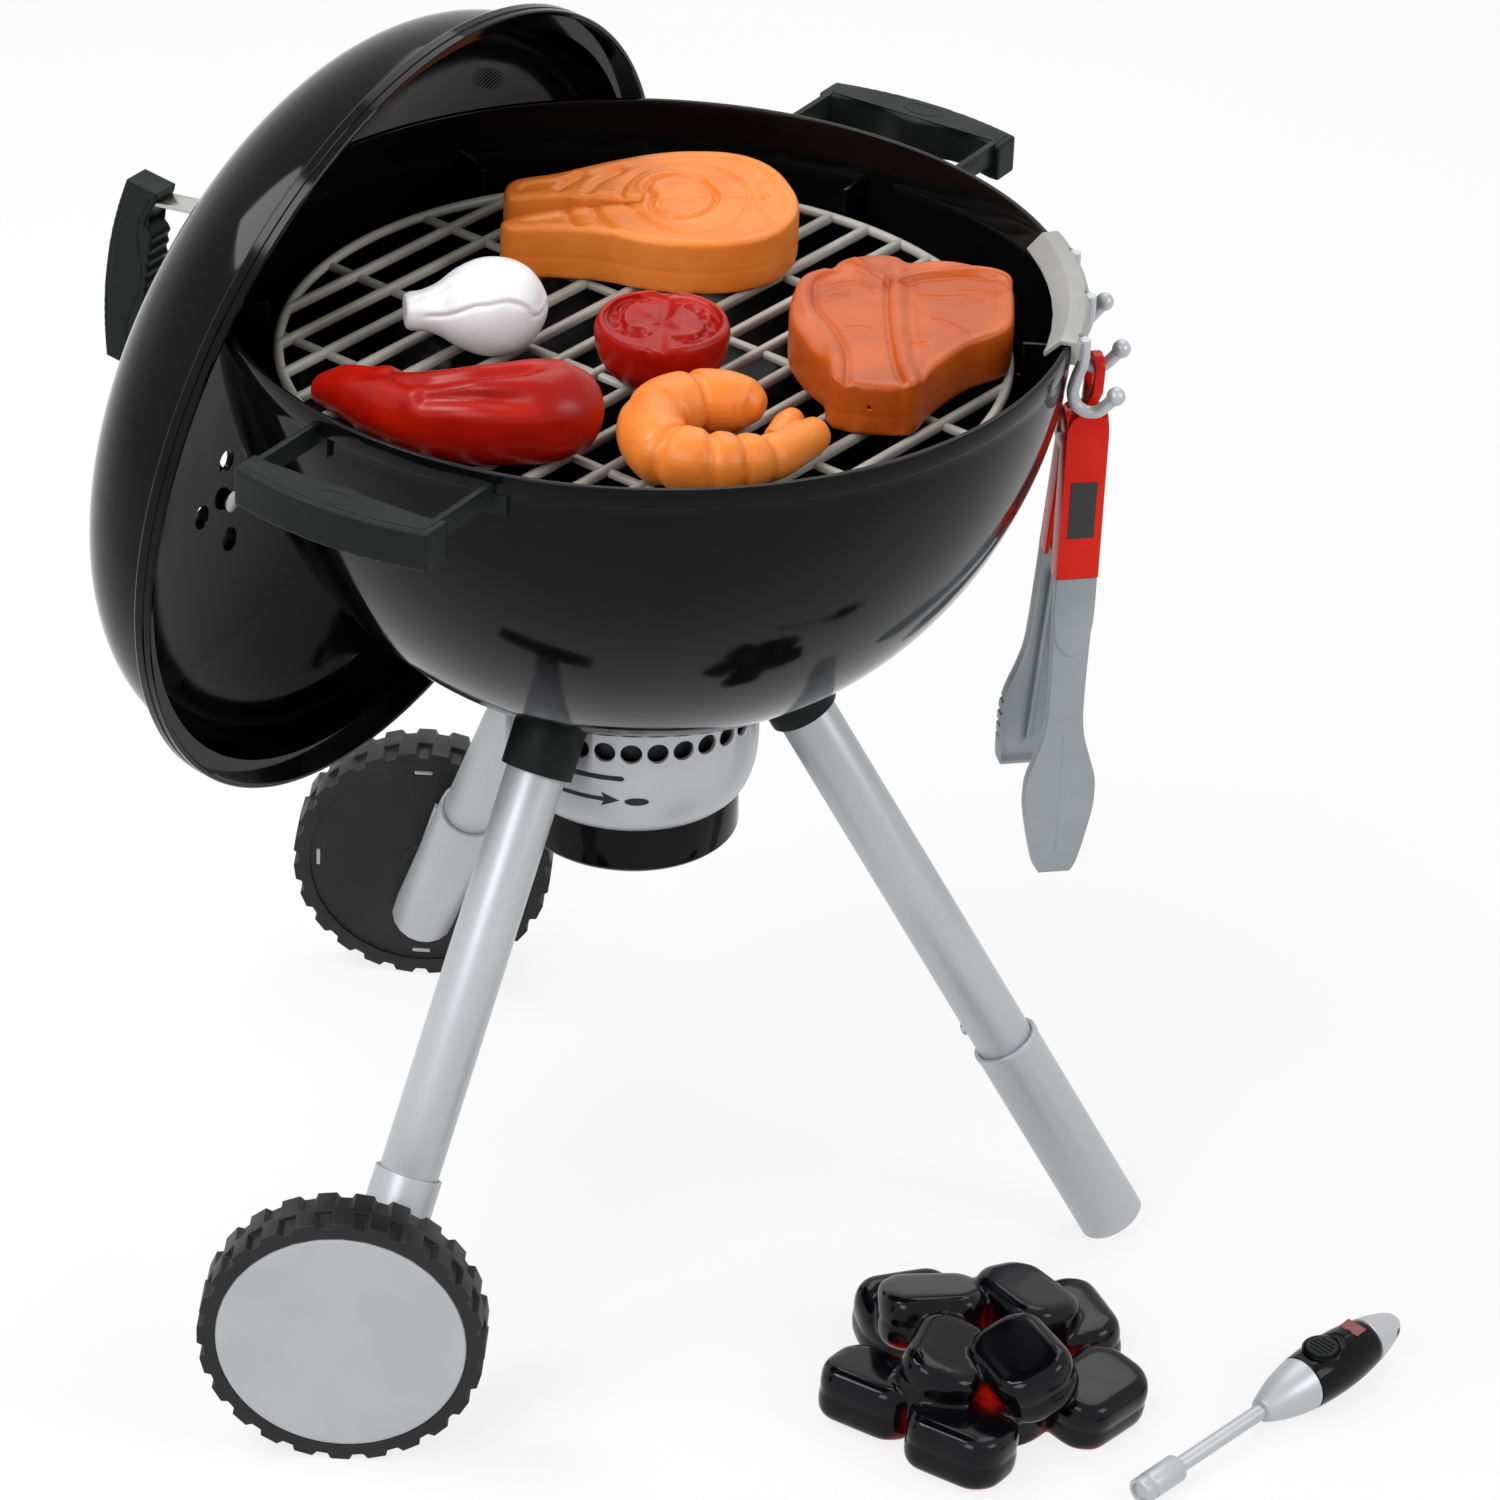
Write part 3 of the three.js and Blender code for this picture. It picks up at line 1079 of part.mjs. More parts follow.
function makeTongs() {
  const across = (radius, half, sides) => disc(radius, -half, half, sides).rotateY(PI / 2);
  const pinRoom = across(tongsPinRadius + gap, tongsHalfWidth * 2, 12);
  const face = tongsHeadRadius;
  const rearHalf = tongsHalfWidth - tongsWall - gap;

  const neckLow = rearHalf / 2;
  const neckRoom = block(eyeOut, face / 2, neckLow + face, eyeThick + 2 * gap, 2 * face + neckHalf, 2 * face);
  const cheeks = cut(across(tongsHeadRadius - gap, tongsHalfWidth, 16), across(tongsHeadRadius, rearHalf + gap, 16));
  const frontArm = cut(join(channelArm(tongsHalfWidth, -face, tongsDepth, 1), cheeks), pinRoom,
    across(rearHalf + 2 * gap, rearHalf + gap, 16), neckRoom);
  addPiece(tongs, 'tongs_arm_front', geometryOf(frontArm).rotateX(-frontLean), tongsRed);

  const shieldHalf = tongsHalfWidth - gap;
  const shield = new THREE.Shape();
  shield.moveTo(-shieldHalf, -tongsGripLength - gap);
  shield.bezierCurveTo(-shieldHalf, -tongsGripLength - shieldLength * shieldCurveShare, -shieldHalf / 2,
    -tongsGripLength - shieldLength, 0, -tongsGripLength - shieldLength);
  shield.bezierCurveTo(shieldHalf / 2, -tongsGripLength - shieldLength, shieldHalf,
    -tongsGripLength - shieldLength * shieldCurveShare, shieldHalf, -tongsGripLength - gap);
  const panel = plateAt(shield, -face, shieldProud + bladeWall);
  const frontBlade = join(blade(frontBladeShares, frontBladeHalf, frontBladeLength, -face + shieldProud, 1,
    tongsHalfWidth - tongsWall - gap), panel);
  addPiece(tongs, 'tongs_blade_front', geometryOf(frontBlade).rotateX(-frontLean), tongsGrey);

  const barrel = across(rearHalf, rearHalf, 16);
  const eyeRoof = tongsPivotDrop + toolHookRadius + gap + eyeSlack;
  const eyeCrown = eyeRoof + eyeTop;
  const tab = new THREE.Shape();
  tab.moveTo(-neckHalf - eyeAcross, 0);
  tab.lineTo(neckHalf - eyeAcross, 0);
  tab.lineTo(neckHalf - eyeAcross, face);
  tab.lineTo(eyeWidth / 2, eyeRoof - eyeHoleHeight);
  tab.lineTo(eyeWidth / 2, eyeCrown - eyeWidth / 2);
  tab.absarc(0, eyeCrown - eyeWidth / 2, eyeWidth / 2, 0, PI);
  tab.lineTo(-eyeWidth / 2, eyeRoof - eyeHoleHeight);
  tab.lineTo(-neckHalf - eyeAcross, face);
  const hole = new THREE.Path();
  hole.moveTo(-eyeHoleWidth / 2, eyeRoof - eyeHoleHeight + eyeHoleWidth / 2);
  hole.absarc(0, eyeRoof - eyeHoleHeight + eyeHoleWidth / 2, eyeHoleWidth / 2, PI, 2 * PI);
  hole.absarc(0, eyeRoof - eyeHoleWidth / 2, eyeHoleWidth / 2, 0, PI);
  tab.holes.push(hole);
  const eye = prism(tab, eyeThick).rotateX(PI / 2).rotateZ(PI / 2)
    .translate(eyeOut - eyeThick / 2, eyeAcross, 0);
  const rearArm = join(channelArm(rearHalf, face, tongsDepth, -1), barrel);
  const rearGeometry = geometryOf(rearArm).rotateX(rearLean);
  addPiece(tongs, 'tongs_arm_rear', cut(join(rearGeometry, eye), pinRoom), tongsRed);
  const rearBlade = blade(rearBladeShares, rearBladeHalf, rearBladeLength, face, -1,
    rearHalf - tongsWall - gap);
  addPiece(tongs, 'tongs_blade_rear', geometryOf(rearBlade).rotateX(rearLean), tongsGrey);
  addPiece(tongs, 'tongs_pin', across(tongsPinRadius, tongsHalfWidth - gap, 12), steel);
}

// The coal bed: briquettes moulded as one piece, flat underneath
function makeCoalBed() {
  const [x, y] = bedPlace;
  const corner = coalRound;
  const outline = outlineOf([[-coalLength / 2, -coalWidth / 4], [-coalLength / 4 - corner / 2, -coalWidth / 2],
    [coalLength / 4 + corner / 2, -coalWidth / 2], [coalLength / 2, -coalWidth / 4],
    [coalLength / 2, coalWidth / 4], [coalLength / 4 + corner / 2, coalWidth / 2],
    [-coalLength / 4 - corner / 2, coalWidth / 2], [-coalLength / 2, coalWidth / 4]]);
  let bed = null;
  for (const [acrossShare, deepShare, upShare, turn, tilt] of coalShares) {
    const coal = prism(outline, coalThick, coalRound, 1).translate(0, 0, -coalThick / 2);
    coal.rotateX(tilt * DEG).rotateZ(turn * DEG);
    coal.translate(acrossShare * bedLength, deepShare * bedDepth, upShare * bedHeight);
    bed = bed ? join(bed, coal) : solidOf(coal);
  }
  const stand = new THREE.Group();
  stand.position.set(x, y, 0);
  grill.add(stand);
  addPiece(stand, 'coal_bed', cut(bed, underside(bedLength)), coalBlack);
}

// The lighter, built along +Z from its tip and then laid down
function makeLighter() {
  const rodStart = lighterTipLength;
  const bodyStart = rodStart + lighterRodLength;
  const widest = bodyStart + lighterBodyLength * lighterWidestShare;
  const tilt = asin((lighterBodyRadius - lighterTipRadius) / widest);
  const lighter = new THREE.Group();
  lighter.position.set(lighterPlace[0], lighterPlace[1], lighterTipRadius * cos(tilt));
  lighter.rotation.order = 'ZYX';
  lighter.rotation.set(0, PI / 2 - tilt, lighterTurn);
  grill.add(lighter);

  const tip = cut(disc(lighterTipRadius, 0, lighterTipLength - gap, 16),
    disc(lighterTipBore, -overrun, lighterTipBoreDepth, 12),
    disc(lighterRodRadius + gap, lighterTipLength - lighterSeat - gap, lighterTipLength + overrun, 12));
  addPiece(lighter, 'lighter_tip', tip, silverPlastic);
  addPiece(lighter, 'lighter_rod', disc(lighterRodRadius, rodStart - lighterSeat, bodyStart + lighterSeat, 12),
    silverPlastic);

  const spindle = lighterShares.map(([up, out]) => [out * lighterBodyRadius, bodyStart + up * lighterBodyLength]);
  const whole = solidOf(revolve([[0, bodyStart], ...spindle, [0, bodyStart + lighterBodyLength]], 18));
  const noseEnd = bodyStart + lighterBodyLength * lighterNoseShare;
  const tailStart = bodyStart + lighterBodyLength * lighterTailShare;
  const big = lighterBodyRadius * 2;
  const rodRoom = disc(lighterRodRadius + gap, bodyStart - overrun, bodyStart + lighterSeat + gap, 12);
  const nose = common(whole, disc(big, bodyStart - overrun, noseEnd - gap / 2, 8));
  addPiece(lighter, 'lighter_nose', cut(nose, rodRoom), silverPlastic);
  const buttonPlace = bodyStart + lighterBodyLength * lighterButtonShare;
  const buttonTop = lighterBodyRadius + lighterButtonProud;
  const upwards = (geometry) => geometry.rotateY(-PI / 2).translate(0, 0, buttonPlace);
  const buttonLow = lighterBodyRadius - lighterButtonSeat;
  const well = upwards(disc(lighterButtonRadius + gap, buttonLow - lighterButtonTravel - gap,
    lighterBodyRadius + overrun, 16));
  const middle = common(whole, disc(big, noseEnd + gap / 2, tailStart - gap / 2, 8));
  addPiece(lighter, 'lighter_grip', cut(middle, well), glossBlack);
  const button = upwards(disc(lighterButtonRadius, buttonLow, buttonTop, 16));
  addPiece(lighter, 'lighter_button', button, glossBlack);
  const tail = common(whole, disc(big, tailStart + gap / 2, bodyStart + lighterBodyLength + overrun, 8));
  const hole = rod(lighterHoleRadius, point(0, -big, bodyStart + lighterBodyLength * lighterHoleShare),
    point(0, big, bodyStart + lighterBodyLength * lighterHoleShare), 12);
  addPiece(lighter, 'lighter_tail', cut(tail, hole), silverPlastic);
}

makeBowl();
for (const leg of Object.keys(legTurns)) makeLeg(leg);
makeFootSleeve();
for (const leg of Object.keys(wheelSides)) {
  makeWheelSleeve(leg);
  makeWheel(leg);
}
for (const side of Object.keys(handleTurns)) makeHandle(side);
makeAshCatcher();
makeGrate();
makeFood();
makeLidShell();
makeDamper();
makeLidHandle();
makeLidHook();
makeToolClip();
makeTongs();
makeCoalBed();
makeLighter();

// The origin goes to the middle of the footprint, on the floor
const box = new THREE.Box3().setFromObject(grill, true);
grill.position.set(-(box.min.x + box.max.x) / 2, -(box.min.y + box.max.y) / 2, -box.min.z);

export default grill;
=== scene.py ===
# %% [markdown]
# # A toy kettle barbecue
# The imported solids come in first. They are the fixed frame: each one tells where a finished piece belongs and
# which moving body carries it. Nothing in this lesson moves them. Sizes are written in millimetres, and MM turns
# them into Blender's metres.

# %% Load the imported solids
import json
from math import asin, cos, hypot, pi, radians, sin, sqrt, tan

import bpy
import numpy as np
from mathutils import Matrix, Vector

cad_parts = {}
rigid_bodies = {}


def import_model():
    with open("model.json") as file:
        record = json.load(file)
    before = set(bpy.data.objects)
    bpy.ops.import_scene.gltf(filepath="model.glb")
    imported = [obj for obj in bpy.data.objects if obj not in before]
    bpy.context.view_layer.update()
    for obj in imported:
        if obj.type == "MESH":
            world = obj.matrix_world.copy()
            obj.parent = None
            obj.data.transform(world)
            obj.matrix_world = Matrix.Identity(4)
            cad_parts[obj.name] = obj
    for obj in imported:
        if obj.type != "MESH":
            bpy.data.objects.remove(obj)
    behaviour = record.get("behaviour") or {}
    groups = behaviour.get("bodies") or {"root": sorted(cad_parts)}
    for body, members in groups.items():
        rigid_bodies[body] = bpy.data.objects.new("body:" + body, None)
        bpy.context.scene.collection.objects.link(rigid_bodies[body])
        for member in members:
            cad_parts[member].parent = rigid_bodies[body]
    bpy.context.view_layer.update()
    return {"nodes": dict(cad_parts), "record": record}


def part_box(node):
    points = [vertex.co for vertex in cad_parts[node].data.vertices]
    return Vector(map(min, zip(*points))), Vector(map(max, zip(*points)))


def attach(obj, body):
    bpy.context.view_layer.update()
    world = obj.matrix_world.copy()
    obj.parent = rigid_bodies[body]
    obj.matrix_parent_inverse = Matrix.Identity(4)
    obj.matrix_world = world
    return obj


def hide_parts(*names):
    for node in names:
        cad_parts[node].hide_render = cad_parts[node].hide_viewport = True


bpy.ops.object.select_all(action="SELECT")
bpy.ops.object.delete()
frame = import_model()
solids = frame["nodes"]
body_of = {node: body for body, group in frame["record"]["behaviour"]["bodies"].items() for node in group}
MM = 0.001


def nothing_selected():
    bpy.ops.object.select_all(action="DESELECT")


def shift(x, y=0, z=0):
    """A move in millimetres."""
    return Matrix.Translation((x * MM, y * MM, z * MM))


def swing(angle, about="Z"):
    return Matrix.Rotation(angle, 4, about)


def aimed(way):
    """Turns what stands upright so that it points along a way."""
    return Vector((0, 0, 1)).rotation_difference(way).to_matrix().to_4x4()


def standing(x_way, y_way, z_way, spot):
    """The frame whose axes point three ways, at a spot."""
    return Matrix((*zip(x_way, y_way, z_way, spot), (0, 0, 0, 1)))


nothing_selected()

# %% [markdown]
# The bowl's axis is the line that everything is measured from, and the middle of the bowl's box lies on it.
# A few sizes come straight from the design of the toy, and the rest are read off the solids.

# %% Where the toy stands
bowl_low, bowl_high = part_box("bowl")
axis = Vector(((bowl_low.x + bowl_high.x) / 2, (bowl_low.y + bowl_high.y) / 2, 0))
upright = Matrix.Translation(axis)
rim_height = bowl_high.z / MM
print("bowl axis in mm:", round(axis.x / MM, 2), round(axis.y / MM, 2), "rim at", round(rim_height, 2))

# %% [markdown]
# The camera stands where the photographer stood: in front, a little to the right, looking down by about
# 31 degrees from nearly three metres away, with a long lens and a slight tilt of the frame.

# %% Camera
photo_side = 1500
focal_pixels = 6333
camera_place = Vector((56.511, -2486.004, 1739.114)) * MM
camera_turn = radians(1.315)
camera_down = radians(30.90)
camera_tilt = radians(2.498)

look = Vector((-sin(camera_turn) * cos(camera_down), cos(camera_turn) * cos(camera_down), -sin(camera_down)))
level_right = look.cross(Vector((0, 0, 1))).normalized()
level_up = level_right.cross(look)
right = cos(camera_tilt) * level_right + sin(camera_tilt) * level_up
up = -sin(camera_tilt) * level_right + cos(camera_tilt) * level_up
nothing_selected()
bpy.ops.object.camera_add()
camera = bpy.context.object
camera.name = "Camera"
camera.matrix_world = standing(right, up, -look, camera_place)
camera.data.sensor_fit = "HORIZONTAL"
camera.data.sensor_width = 36
camera.data.lens = camera.data.sensor_width * focal_pixels / photo_side
camera.data.clip_start = 0.05
camera.data.clip_end = 60
bpy.context.scene.camera = camera
print("lens", round(camera.data.lens, 1), "mm")

# %% [markdown]
# Materials are node trees, and their arithmetic reads badly as nodes. Wire wraps one output of a node, so that
# wires can be added and multiplied like numbers. Nodes adds to any node tree, and Finish is the tree of one
# material.

# %% Writing a finish as arithmetic


class Wire:
    """One output of a node, which can be reckoned with like a number."""

    def __init__(self, nodes, socket):
        self.nodes = nodes
        self.socket = socket

    def reckon(self, operation, *values):
        return self.nodes.node("ShaderNodeMath", {"operation": operation}, *values)

    def __add__(self, other):
        return self.reckon("ADD", self, other)

    def __radd__(self, other):
        return self.reckon("ADD", other, self)

    def __rsub__(self, other):
        return self.reckon("SUBTRACT", other, self)

    def __mul__(self, other):
        return self.reckon("MULTIPLY", self, other)

    def __rmul__(self, other):
        return self.reckon("MULTIPLY", other, self)

    def larger(self, other):
        return self.reckon("MAXIMUM", self, other)

    def step(self, low, high):
        """0 below low, 1 above high, and a soft slope between."""
        settings = {"interpolation_type": "SMOOTHSTEP"}
        return self.nodes.node("ShaderNodeMapRange", settings, self, low, high, 0.0, 1.0)


class Nodes:
    """A node tree, and ways to add to it."""

    def __init__(self, tree):
        self.tree = tree

    def node(self, kind, settings, *values, output=0, **named):
        made = self.tree.nodes.new(kind)
        for key, value in settings.items():
            setattr(made, key, value)
        for i, value in enumerate(values):
            self.join(made.inputs[i], value)
        for socket, value in named.items():
            self.join(made.inputs[socket.replace("_", " ")], value)
        return Wire(self, made.outputs[output])

    def join(self, socket, value):
        if isinstance(value, Wire):
            self.tree.links.new(value.socket, socket)
        else:
            socket.default_value = value

    def seen(self):
        """1 for what the camera, mirrors and glass see, and 0 for the light that falls on the toy."""
        straight, mirrored, through_glass = [self.node("ShaderNodeLightPath", {}, output=f"Is {kind} Ray")
                                             for kind in ("Camera", "Glossy", "Transmission")]
        return straight.larger(mirrored).larger(through_glass)


class Finish(Nodes):
    """One material: its constants go on the shader, and what varies comes in through set."""

    def __init__(self, name, **constants):
        self.material = bpy.data.materials.new(name)
        self.material.use_nodes = True
        super().__init__(self.material.node_tree)
        self.shader = self.tree.nodes["Principled BSDF"]
        for socket, value in constants.items():
            self.shader.inputs[socket.replace("_", " ")].default_value = value
        self.place = self.node("ShaderNodeTexCoord", {}, output="Object")

    def set(self, socket, value):
        self.join(self.shader.inputs[socket], value)

    def noise(self, scale, detail=3.0, stretch=None):
        place = self.place
        if stretch:
            place = self.node("ShaderNodeMapping", {}, Vector=self.place, Scale=stretch)
        return self.node("ShaderNodeTexNoise", {}, Vector=place, Scale=scale, Detail=detail)

    def blend(self, share, first, second):
        made = self.tree.nodes.new("ShaderNodeMix")
        made.data_type = "RGBA"
        self.join(made.inputs[0], share)
        self.join(made.inputs[6], first)
        self.join(made.inputs[7], second)
        return Wire(self, made.outputs[2])

    def bump(self, height, depth, strength=1.0):
        self.set("Normal", self.node("ShaderNodeBump", {}, Strength=strength, Distance=depth * MM, Height=height))


def paint(code):
    """A colour written as six hex digits, as the eye sees it, turned into the light values that Blender wants."""
    parts = [int(code[i:i + 2], 16) / 255 for i in (0, 2, 4)]
    return (*[v / 12.92 if v <= 0.04045 else ((v + 0.055) / 1.055) ** 2.4 for v in parts], 1)


print("paint('808080') is", [round(v, 3) for v in paint("808080")])

# %% [markdown]
# Every part of the toy is moulded plastic, apart from a few screws, rivets and straps. Moulded plastic is never
# quite even: the colour clouds slightly, the gloss changes where hands and the mould have touched it, and a fine
# grain breaks up the highlights. One function writes that, and each finish gives it its own amounts.

# %% Moulded plastic


def moulded(name, light, dark, gloss, grain, grain_depth, cloud=22, **constants):
    """gloss is the (smoothest, roughest) pair; grain is how many grains fit in a metre."""
    finish = Finish(name, **constants)
    clouds = finish.noise(cloud, 4.0).step(0.35, 0.65)
    wipes = finish.noise(cloud * 2.6, 5.0, (1.0, 1.0, 0.35)).step(0.3, 0.7)
    finish.set("Base Color", finish.blend(clouds, paint(dark), paint(light)))
    finish.set("Roughness", gloss[0] + (gloss[1] - gloss[0]) * wipes)
    grains = finish.noise(grain, 2.0)
    waves = finish.noise(cloud * 1.4, 1.0)
    finish.bump(grains * grain_depth + waves * 0.25, 1.0, 0.35)
    return finish


gloss_black = moulded("Glossy black plastic", "0a0a0b", "060607", (0.06, 0.12), 2400, 0.003, IOR=1.22)
satin_black = moulded("Charcoal plastic", "191b1b", "141616", (0.38, 0.5), 2600, 0.035, IOR=1.22)
tread_black = moulded("Tyre plastic", "181818", "101010", (0.42, 0.58), 2200, 0.03, IOR=1.4)
pale_grey = moulded("Pale grey plastic", "b4b5b9", "afb0b4", (0.40, 0.47), 2600, 0.008)
clip_grey = moulded("Clip plastic", "9b9b96", "8f8f8a", (0.34, 0.44), 2600, 0.01)
grate_grey = moulded("Grate plastic", "b3b0a6", "a19e94", (0.38, 0.52), 2000, 0.03, 30)
tongs_red = moulded("Tongs red plastic", "e22106", "d41804", (0.16, 0.24), 2400, 0.004, IOR=1.25)
tongs_grey = moulded("Tongs grey plastic", "979fa2", "8e9699", (0.3, 0.42), 2400, 0.02)
garlic_white = moulded("Garlic plastic", "f1f1f4", "e6e6eb", (0.3, 0.4), 1800, 0.02)
fish_orange = moulded("Fish plastic", "ec8634", "e07827", (0.34, 0.46), 1500, 0.03, 30, IOR=1.4)
steak_brown = moulded("Steak plastic", "c05713", "ac480a", (0.31, 0.42), 1500, 0.03, 34, IOR=1.4)
food_red = moulded("Red food plastic", "ae1706", "980f03", (0.26, 0.36), 1700, 0.02, 30, IOR=1.28)
label_black = moulded("Blank plate", "1d1d20", "161618", (0.3, 0.4), 2000, 0.01)
label_red = moulded("Dark red blank label", "7a1208", "640d06", (0.3, 0.4), 2000, 0.01)
print(len(bpy.data.materials), "finishes so far")

# %% [markdown]
# The legs, the ash ring and the hooks are plastic with metal flake in it. The flakes are tiny cells that catch
# the light at different angles, so a cell texture changes both the colour and the gloss. The screws and straps
# are real steel, drawn through a die, which leaves fine lines along them.

# %% Silver plastic and steel
silver_plastic = Finish("Silver plastic", Metallic=0.3)
flakes = silver_plastic.node("ShaderNodeTexVoronoi", {}, Vector=silver_plastic.place, Scale=2600.0, output="Color")
glints = silver_plastic.node("ShaderNodeSeparateColor", {}, flakes)
clouds = silver_plastic.noise(18, 3.0).step(0.3, 0.7)
glitter = silver_plastic.blend(glints * 0.6 + clouds * 0.4, paint("b4b5b9"), paint("bebfc3"))
silver_plastic.set("Base Color", glitter)
silver_plastic.set("Roughness", 0.34 + glints * 0.08)
silver_plastic.bump(glints * 0.004 + silver_plastic.noise(14, 1.0) * 0.3, 1.0, 0.2)
steel = Finish("Drawn steel", Metallic=1.0)
drawn = steel.noise(900, 3.0, (1.0, 1.0, 0.05))
steel.set("Base Color", steel.blend(drawn, paint("a9a9a6"), paint("c9c9c6")))
steel.set("Roughness", 0.22 + drawn * 0.2)
steel.bump(drawn, 0.02, 0.3)
print("silver, steel made")

# %% [markdown]
# The coal bed is moulded in a smoky see-through plastic with red behind it. The glow in the cracks between the
# briquettes is painted: there the colour turns dark red and a red emission is added, while the faces stay black.
# How much of the sky a point can see tells the cracks from the faces.

# %% Coals with a painted glow in their cracks
coal_black = Finish("Glowing coal plastic", Emission_Strength=0.7, IOR=1.28)
crack = 1 - coal_black.node("ShaderNodeAmbientOcclusion", {"samples": 8}, Distance=14 * MM, output="AO")
# painted glow: dark red colour and red emission in the cracks, where little of the sky is seen
painted_glow = crack.step(0.42, 0.95) * coal_black.noise(55, 3.0).step(0.35, 0.75)
coal_black.set("Base Color", coal_black.blend(painted_glow, paint("08080c"), paint("5a0a06")))
# the painted glow itself, as red emission in the cracks
coal_black.set("Emission Color", coal_black.blend(painted_glow, (0, 0, 0, 1), paint("b5180a")))
coal_black.set("Roughness", 0.07 + coal_black.noise(60, 4.0).step(0.3, 0.7) * 0.09)
coal_black.bump(coal_black.noise(38, 2.0), 0.5, 0.3)
print("coal made")

# %% [markdown]
# New pieces start from a line. A small plane is merged to one point, the point is extruded from place to place,
# and the line is then either spun round an axis, as on a lathe, or closed and extruded upwards, as a pastry
# cutter does. Both ways leave clean faces that a bevel can round afterwards.

# %% Lathe and cutter


def pick(piece):
    nothing_selected()
    piece.select_set(True)
    bpy.context.view_layer.objects.active = piece


def edit_all():
    bpy.ops.object.mode_set(mode="EDIT")
    bpy.ops.mesh.select_all(action="SELECT")


def finish_editing():
    bpy.ops.object.mode_set(mode="OBJECT")


def draw_line(name, points):
    """Leaves the new piece in edit mode, with all of it selected."""
    nothing_selected()
    bpy.ops.mesh.primitive_plane_add(size=MM, enter_editmode=True)
    piece = bpy.context.object
    piece.name = name
    bpy.ops.mesh.merge(type="CENTER")
    places = [Vector(p) * MM for p in points]
    bpy.ops.transform.translate(value=places[0])
    for before, after in zip(places, places[1:]):
        bpy.ops.mesh.extrude_region_move(TRANSFORM_OT_translate={"value": after - before})
    bpy.ops.mesh.select_all(action="SELECT")
    return piece


def close_up():
    bpy.ops.mesh.select_all(action="SELECT")
    bpy.ops.mesh.remove_doubles(threshold=MM / 200)
    bpy.ops.mesh.normals_make_consistent(inside=False)
    finish_editing()


def turned(name, profile, steps=96):
    """Spins a line of (radius, height) pairs round the vertical axis."""
    piece = draw_line(name, [(radius, 0, height) for radius, height in profile])
    bpy.ops.mesh.spin(steps=steps, angle=2 * pi, center=(0, 0, 0), axis=(0, 0, 1))
    close_up()
    return piece


def peg(radius, low, high, steps):
    """A plain round rod."""
    return turned("peg", [(0, low), (radius, low), (radius, high), (0, high)], steps)


def pipe(inner, outer, low, high, steps):
    return turned("pipe", [(inner, low), (outer, low), (outer, high), (inner, high), (inner, low)], steps)


def slab(name, outline, low, high):
    """Cuts a flat piece to a closed outline of (x, y) pairs, standing from low to high."""
    piece = draw_line(name, [(x, y, low) for x, y in outline])
    bpy.ops.mesh.edge_face_add()
    bpy.ops.mesh.extrude_region_move(TRANSFORM_OT_translate={"value": (0, 0, (high - low) * MM)})
    close_up()
    return piece


def use(piece, kind, **settings):
    """Adds a modifier, sets it and applies it."""
    pick(piece)
    modifier = piece.modifiers.new(kind.title(), kind)
    for key, value in settings.items():
        setattr(modifier, key, value)
    bpy.ops.object.modifier_apply(modifier=modifier.name)


def even_faces(piece, size, rounds):
    use(piece, "REMESH", mode="VOXEL", voxel_size=size * MM, use_smooth_shade=True)
    use(piece, "SMOOTH", factor=0.5, iterations=rounds)
    return piece


def smooth(piece, angle=35):
    pick(piece)
    bpy.ops.object.shade_smooth_by_angle(angle=radians(angle))


def soften(piece, width, segments=2, angle=40):
    """Rounds the sharp edges, as every moulded or sheared edge is."""
    use(piece, "BEVEL", width=width * MM, segments=segments, limit_method="ANGLE", angle_limit=radians(angle))
    smooth(piece, 50)
    return piece


def place(piece, matrix):
    pick(piece)
    piece.matrix_world = matrix
    bpy.ops.object.transform_apply(location=True, rotation=True, scale=True)
    return piece


def carve(piece, *cutters):
    for cutter in cutters:
        use(piece, "BOOLEAN", operation="DIFFERENCE", solver="EXACT", object=cutter)
        bpy.data.objects.remove(cutter)


def together(piece, *others):
    pick(piece)
    for other in others:
        other.select_set(True)
    bpy.ops.object.join()
    return piece


def gathered(pieces):
    """Joins new pieces into one, each as soon as it is made."""
    whole = None
    for piece in pieces:
        whole = together(whole, piece) if whole else piece
    return whole


def flatten_below(piece, height=0):
    """Cuts off what reaches below a height and closes the cut."""
    pick(piece)
    edit_all()
    bpy.ops.mesh.bisect(plane_co=(0, 0, height * MM), plane_no=(0, 0, 1), use_fill=True, clear_inner=True)
    finish_editing()


def detail(piece, finish, name, node):
    """Gives a piece its name and finish, and lets it ride on the body of a solid without replacing that solid."""
    piece.data.materials.clear()
    piece.data.materials.append(finish.material)
    piece.name = name
    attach(piece, body_of[node])
    print(name, len(piece.data.polygons), "faces")


def fit(piece, finish, node):
    """Puts a finished piece in the place of its solid."""
    detail(piece, finish, node + "_finished", node)
    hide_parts(node)


def from_solid(node, finish, bevel=0.4, segments=3, angle=40):
    """Fits a copy of the solid: its loose triangles are merged, flat ones are dissolved and edges rounded."""
    piece = bpy.data.objects.new(node + "_made", solids[node].data.copy())
    bpy.context.scene.collection.objects.link(piece)
    pick(piece)
    edit_all()
    bpy.ops.mesh.remove_doubles(threshold=MM / 200)
    bpy.ops.mesh.dissolve_limited(angle_limit=radians(0.5))
    finish_editing()
    fit(soften(piece, bevel, segments, angle), finish, node)


# %% [markdown]
# The bowl is a kettle: nearly a half globe, but fuller at the sides and flatter underneath. Its side follows a
# superellipse, a circle whose powers have been changed. A band with a lip runs round the rim. Inside stand six
# thin ribs with a step, and the grate rests on those steps.

# %% Bowl
rim_radius = 190
rim_band = 9.4
body_radius = 188
bowl_wall = 2.8
skirt_height = rim_height - 15
floor_height = rim_height - 193.4
curve_depth = 181.9
side_power = 2.396
floor_power = 1.72
boss_low = bowl_low.z / MM
boss_radius = 12


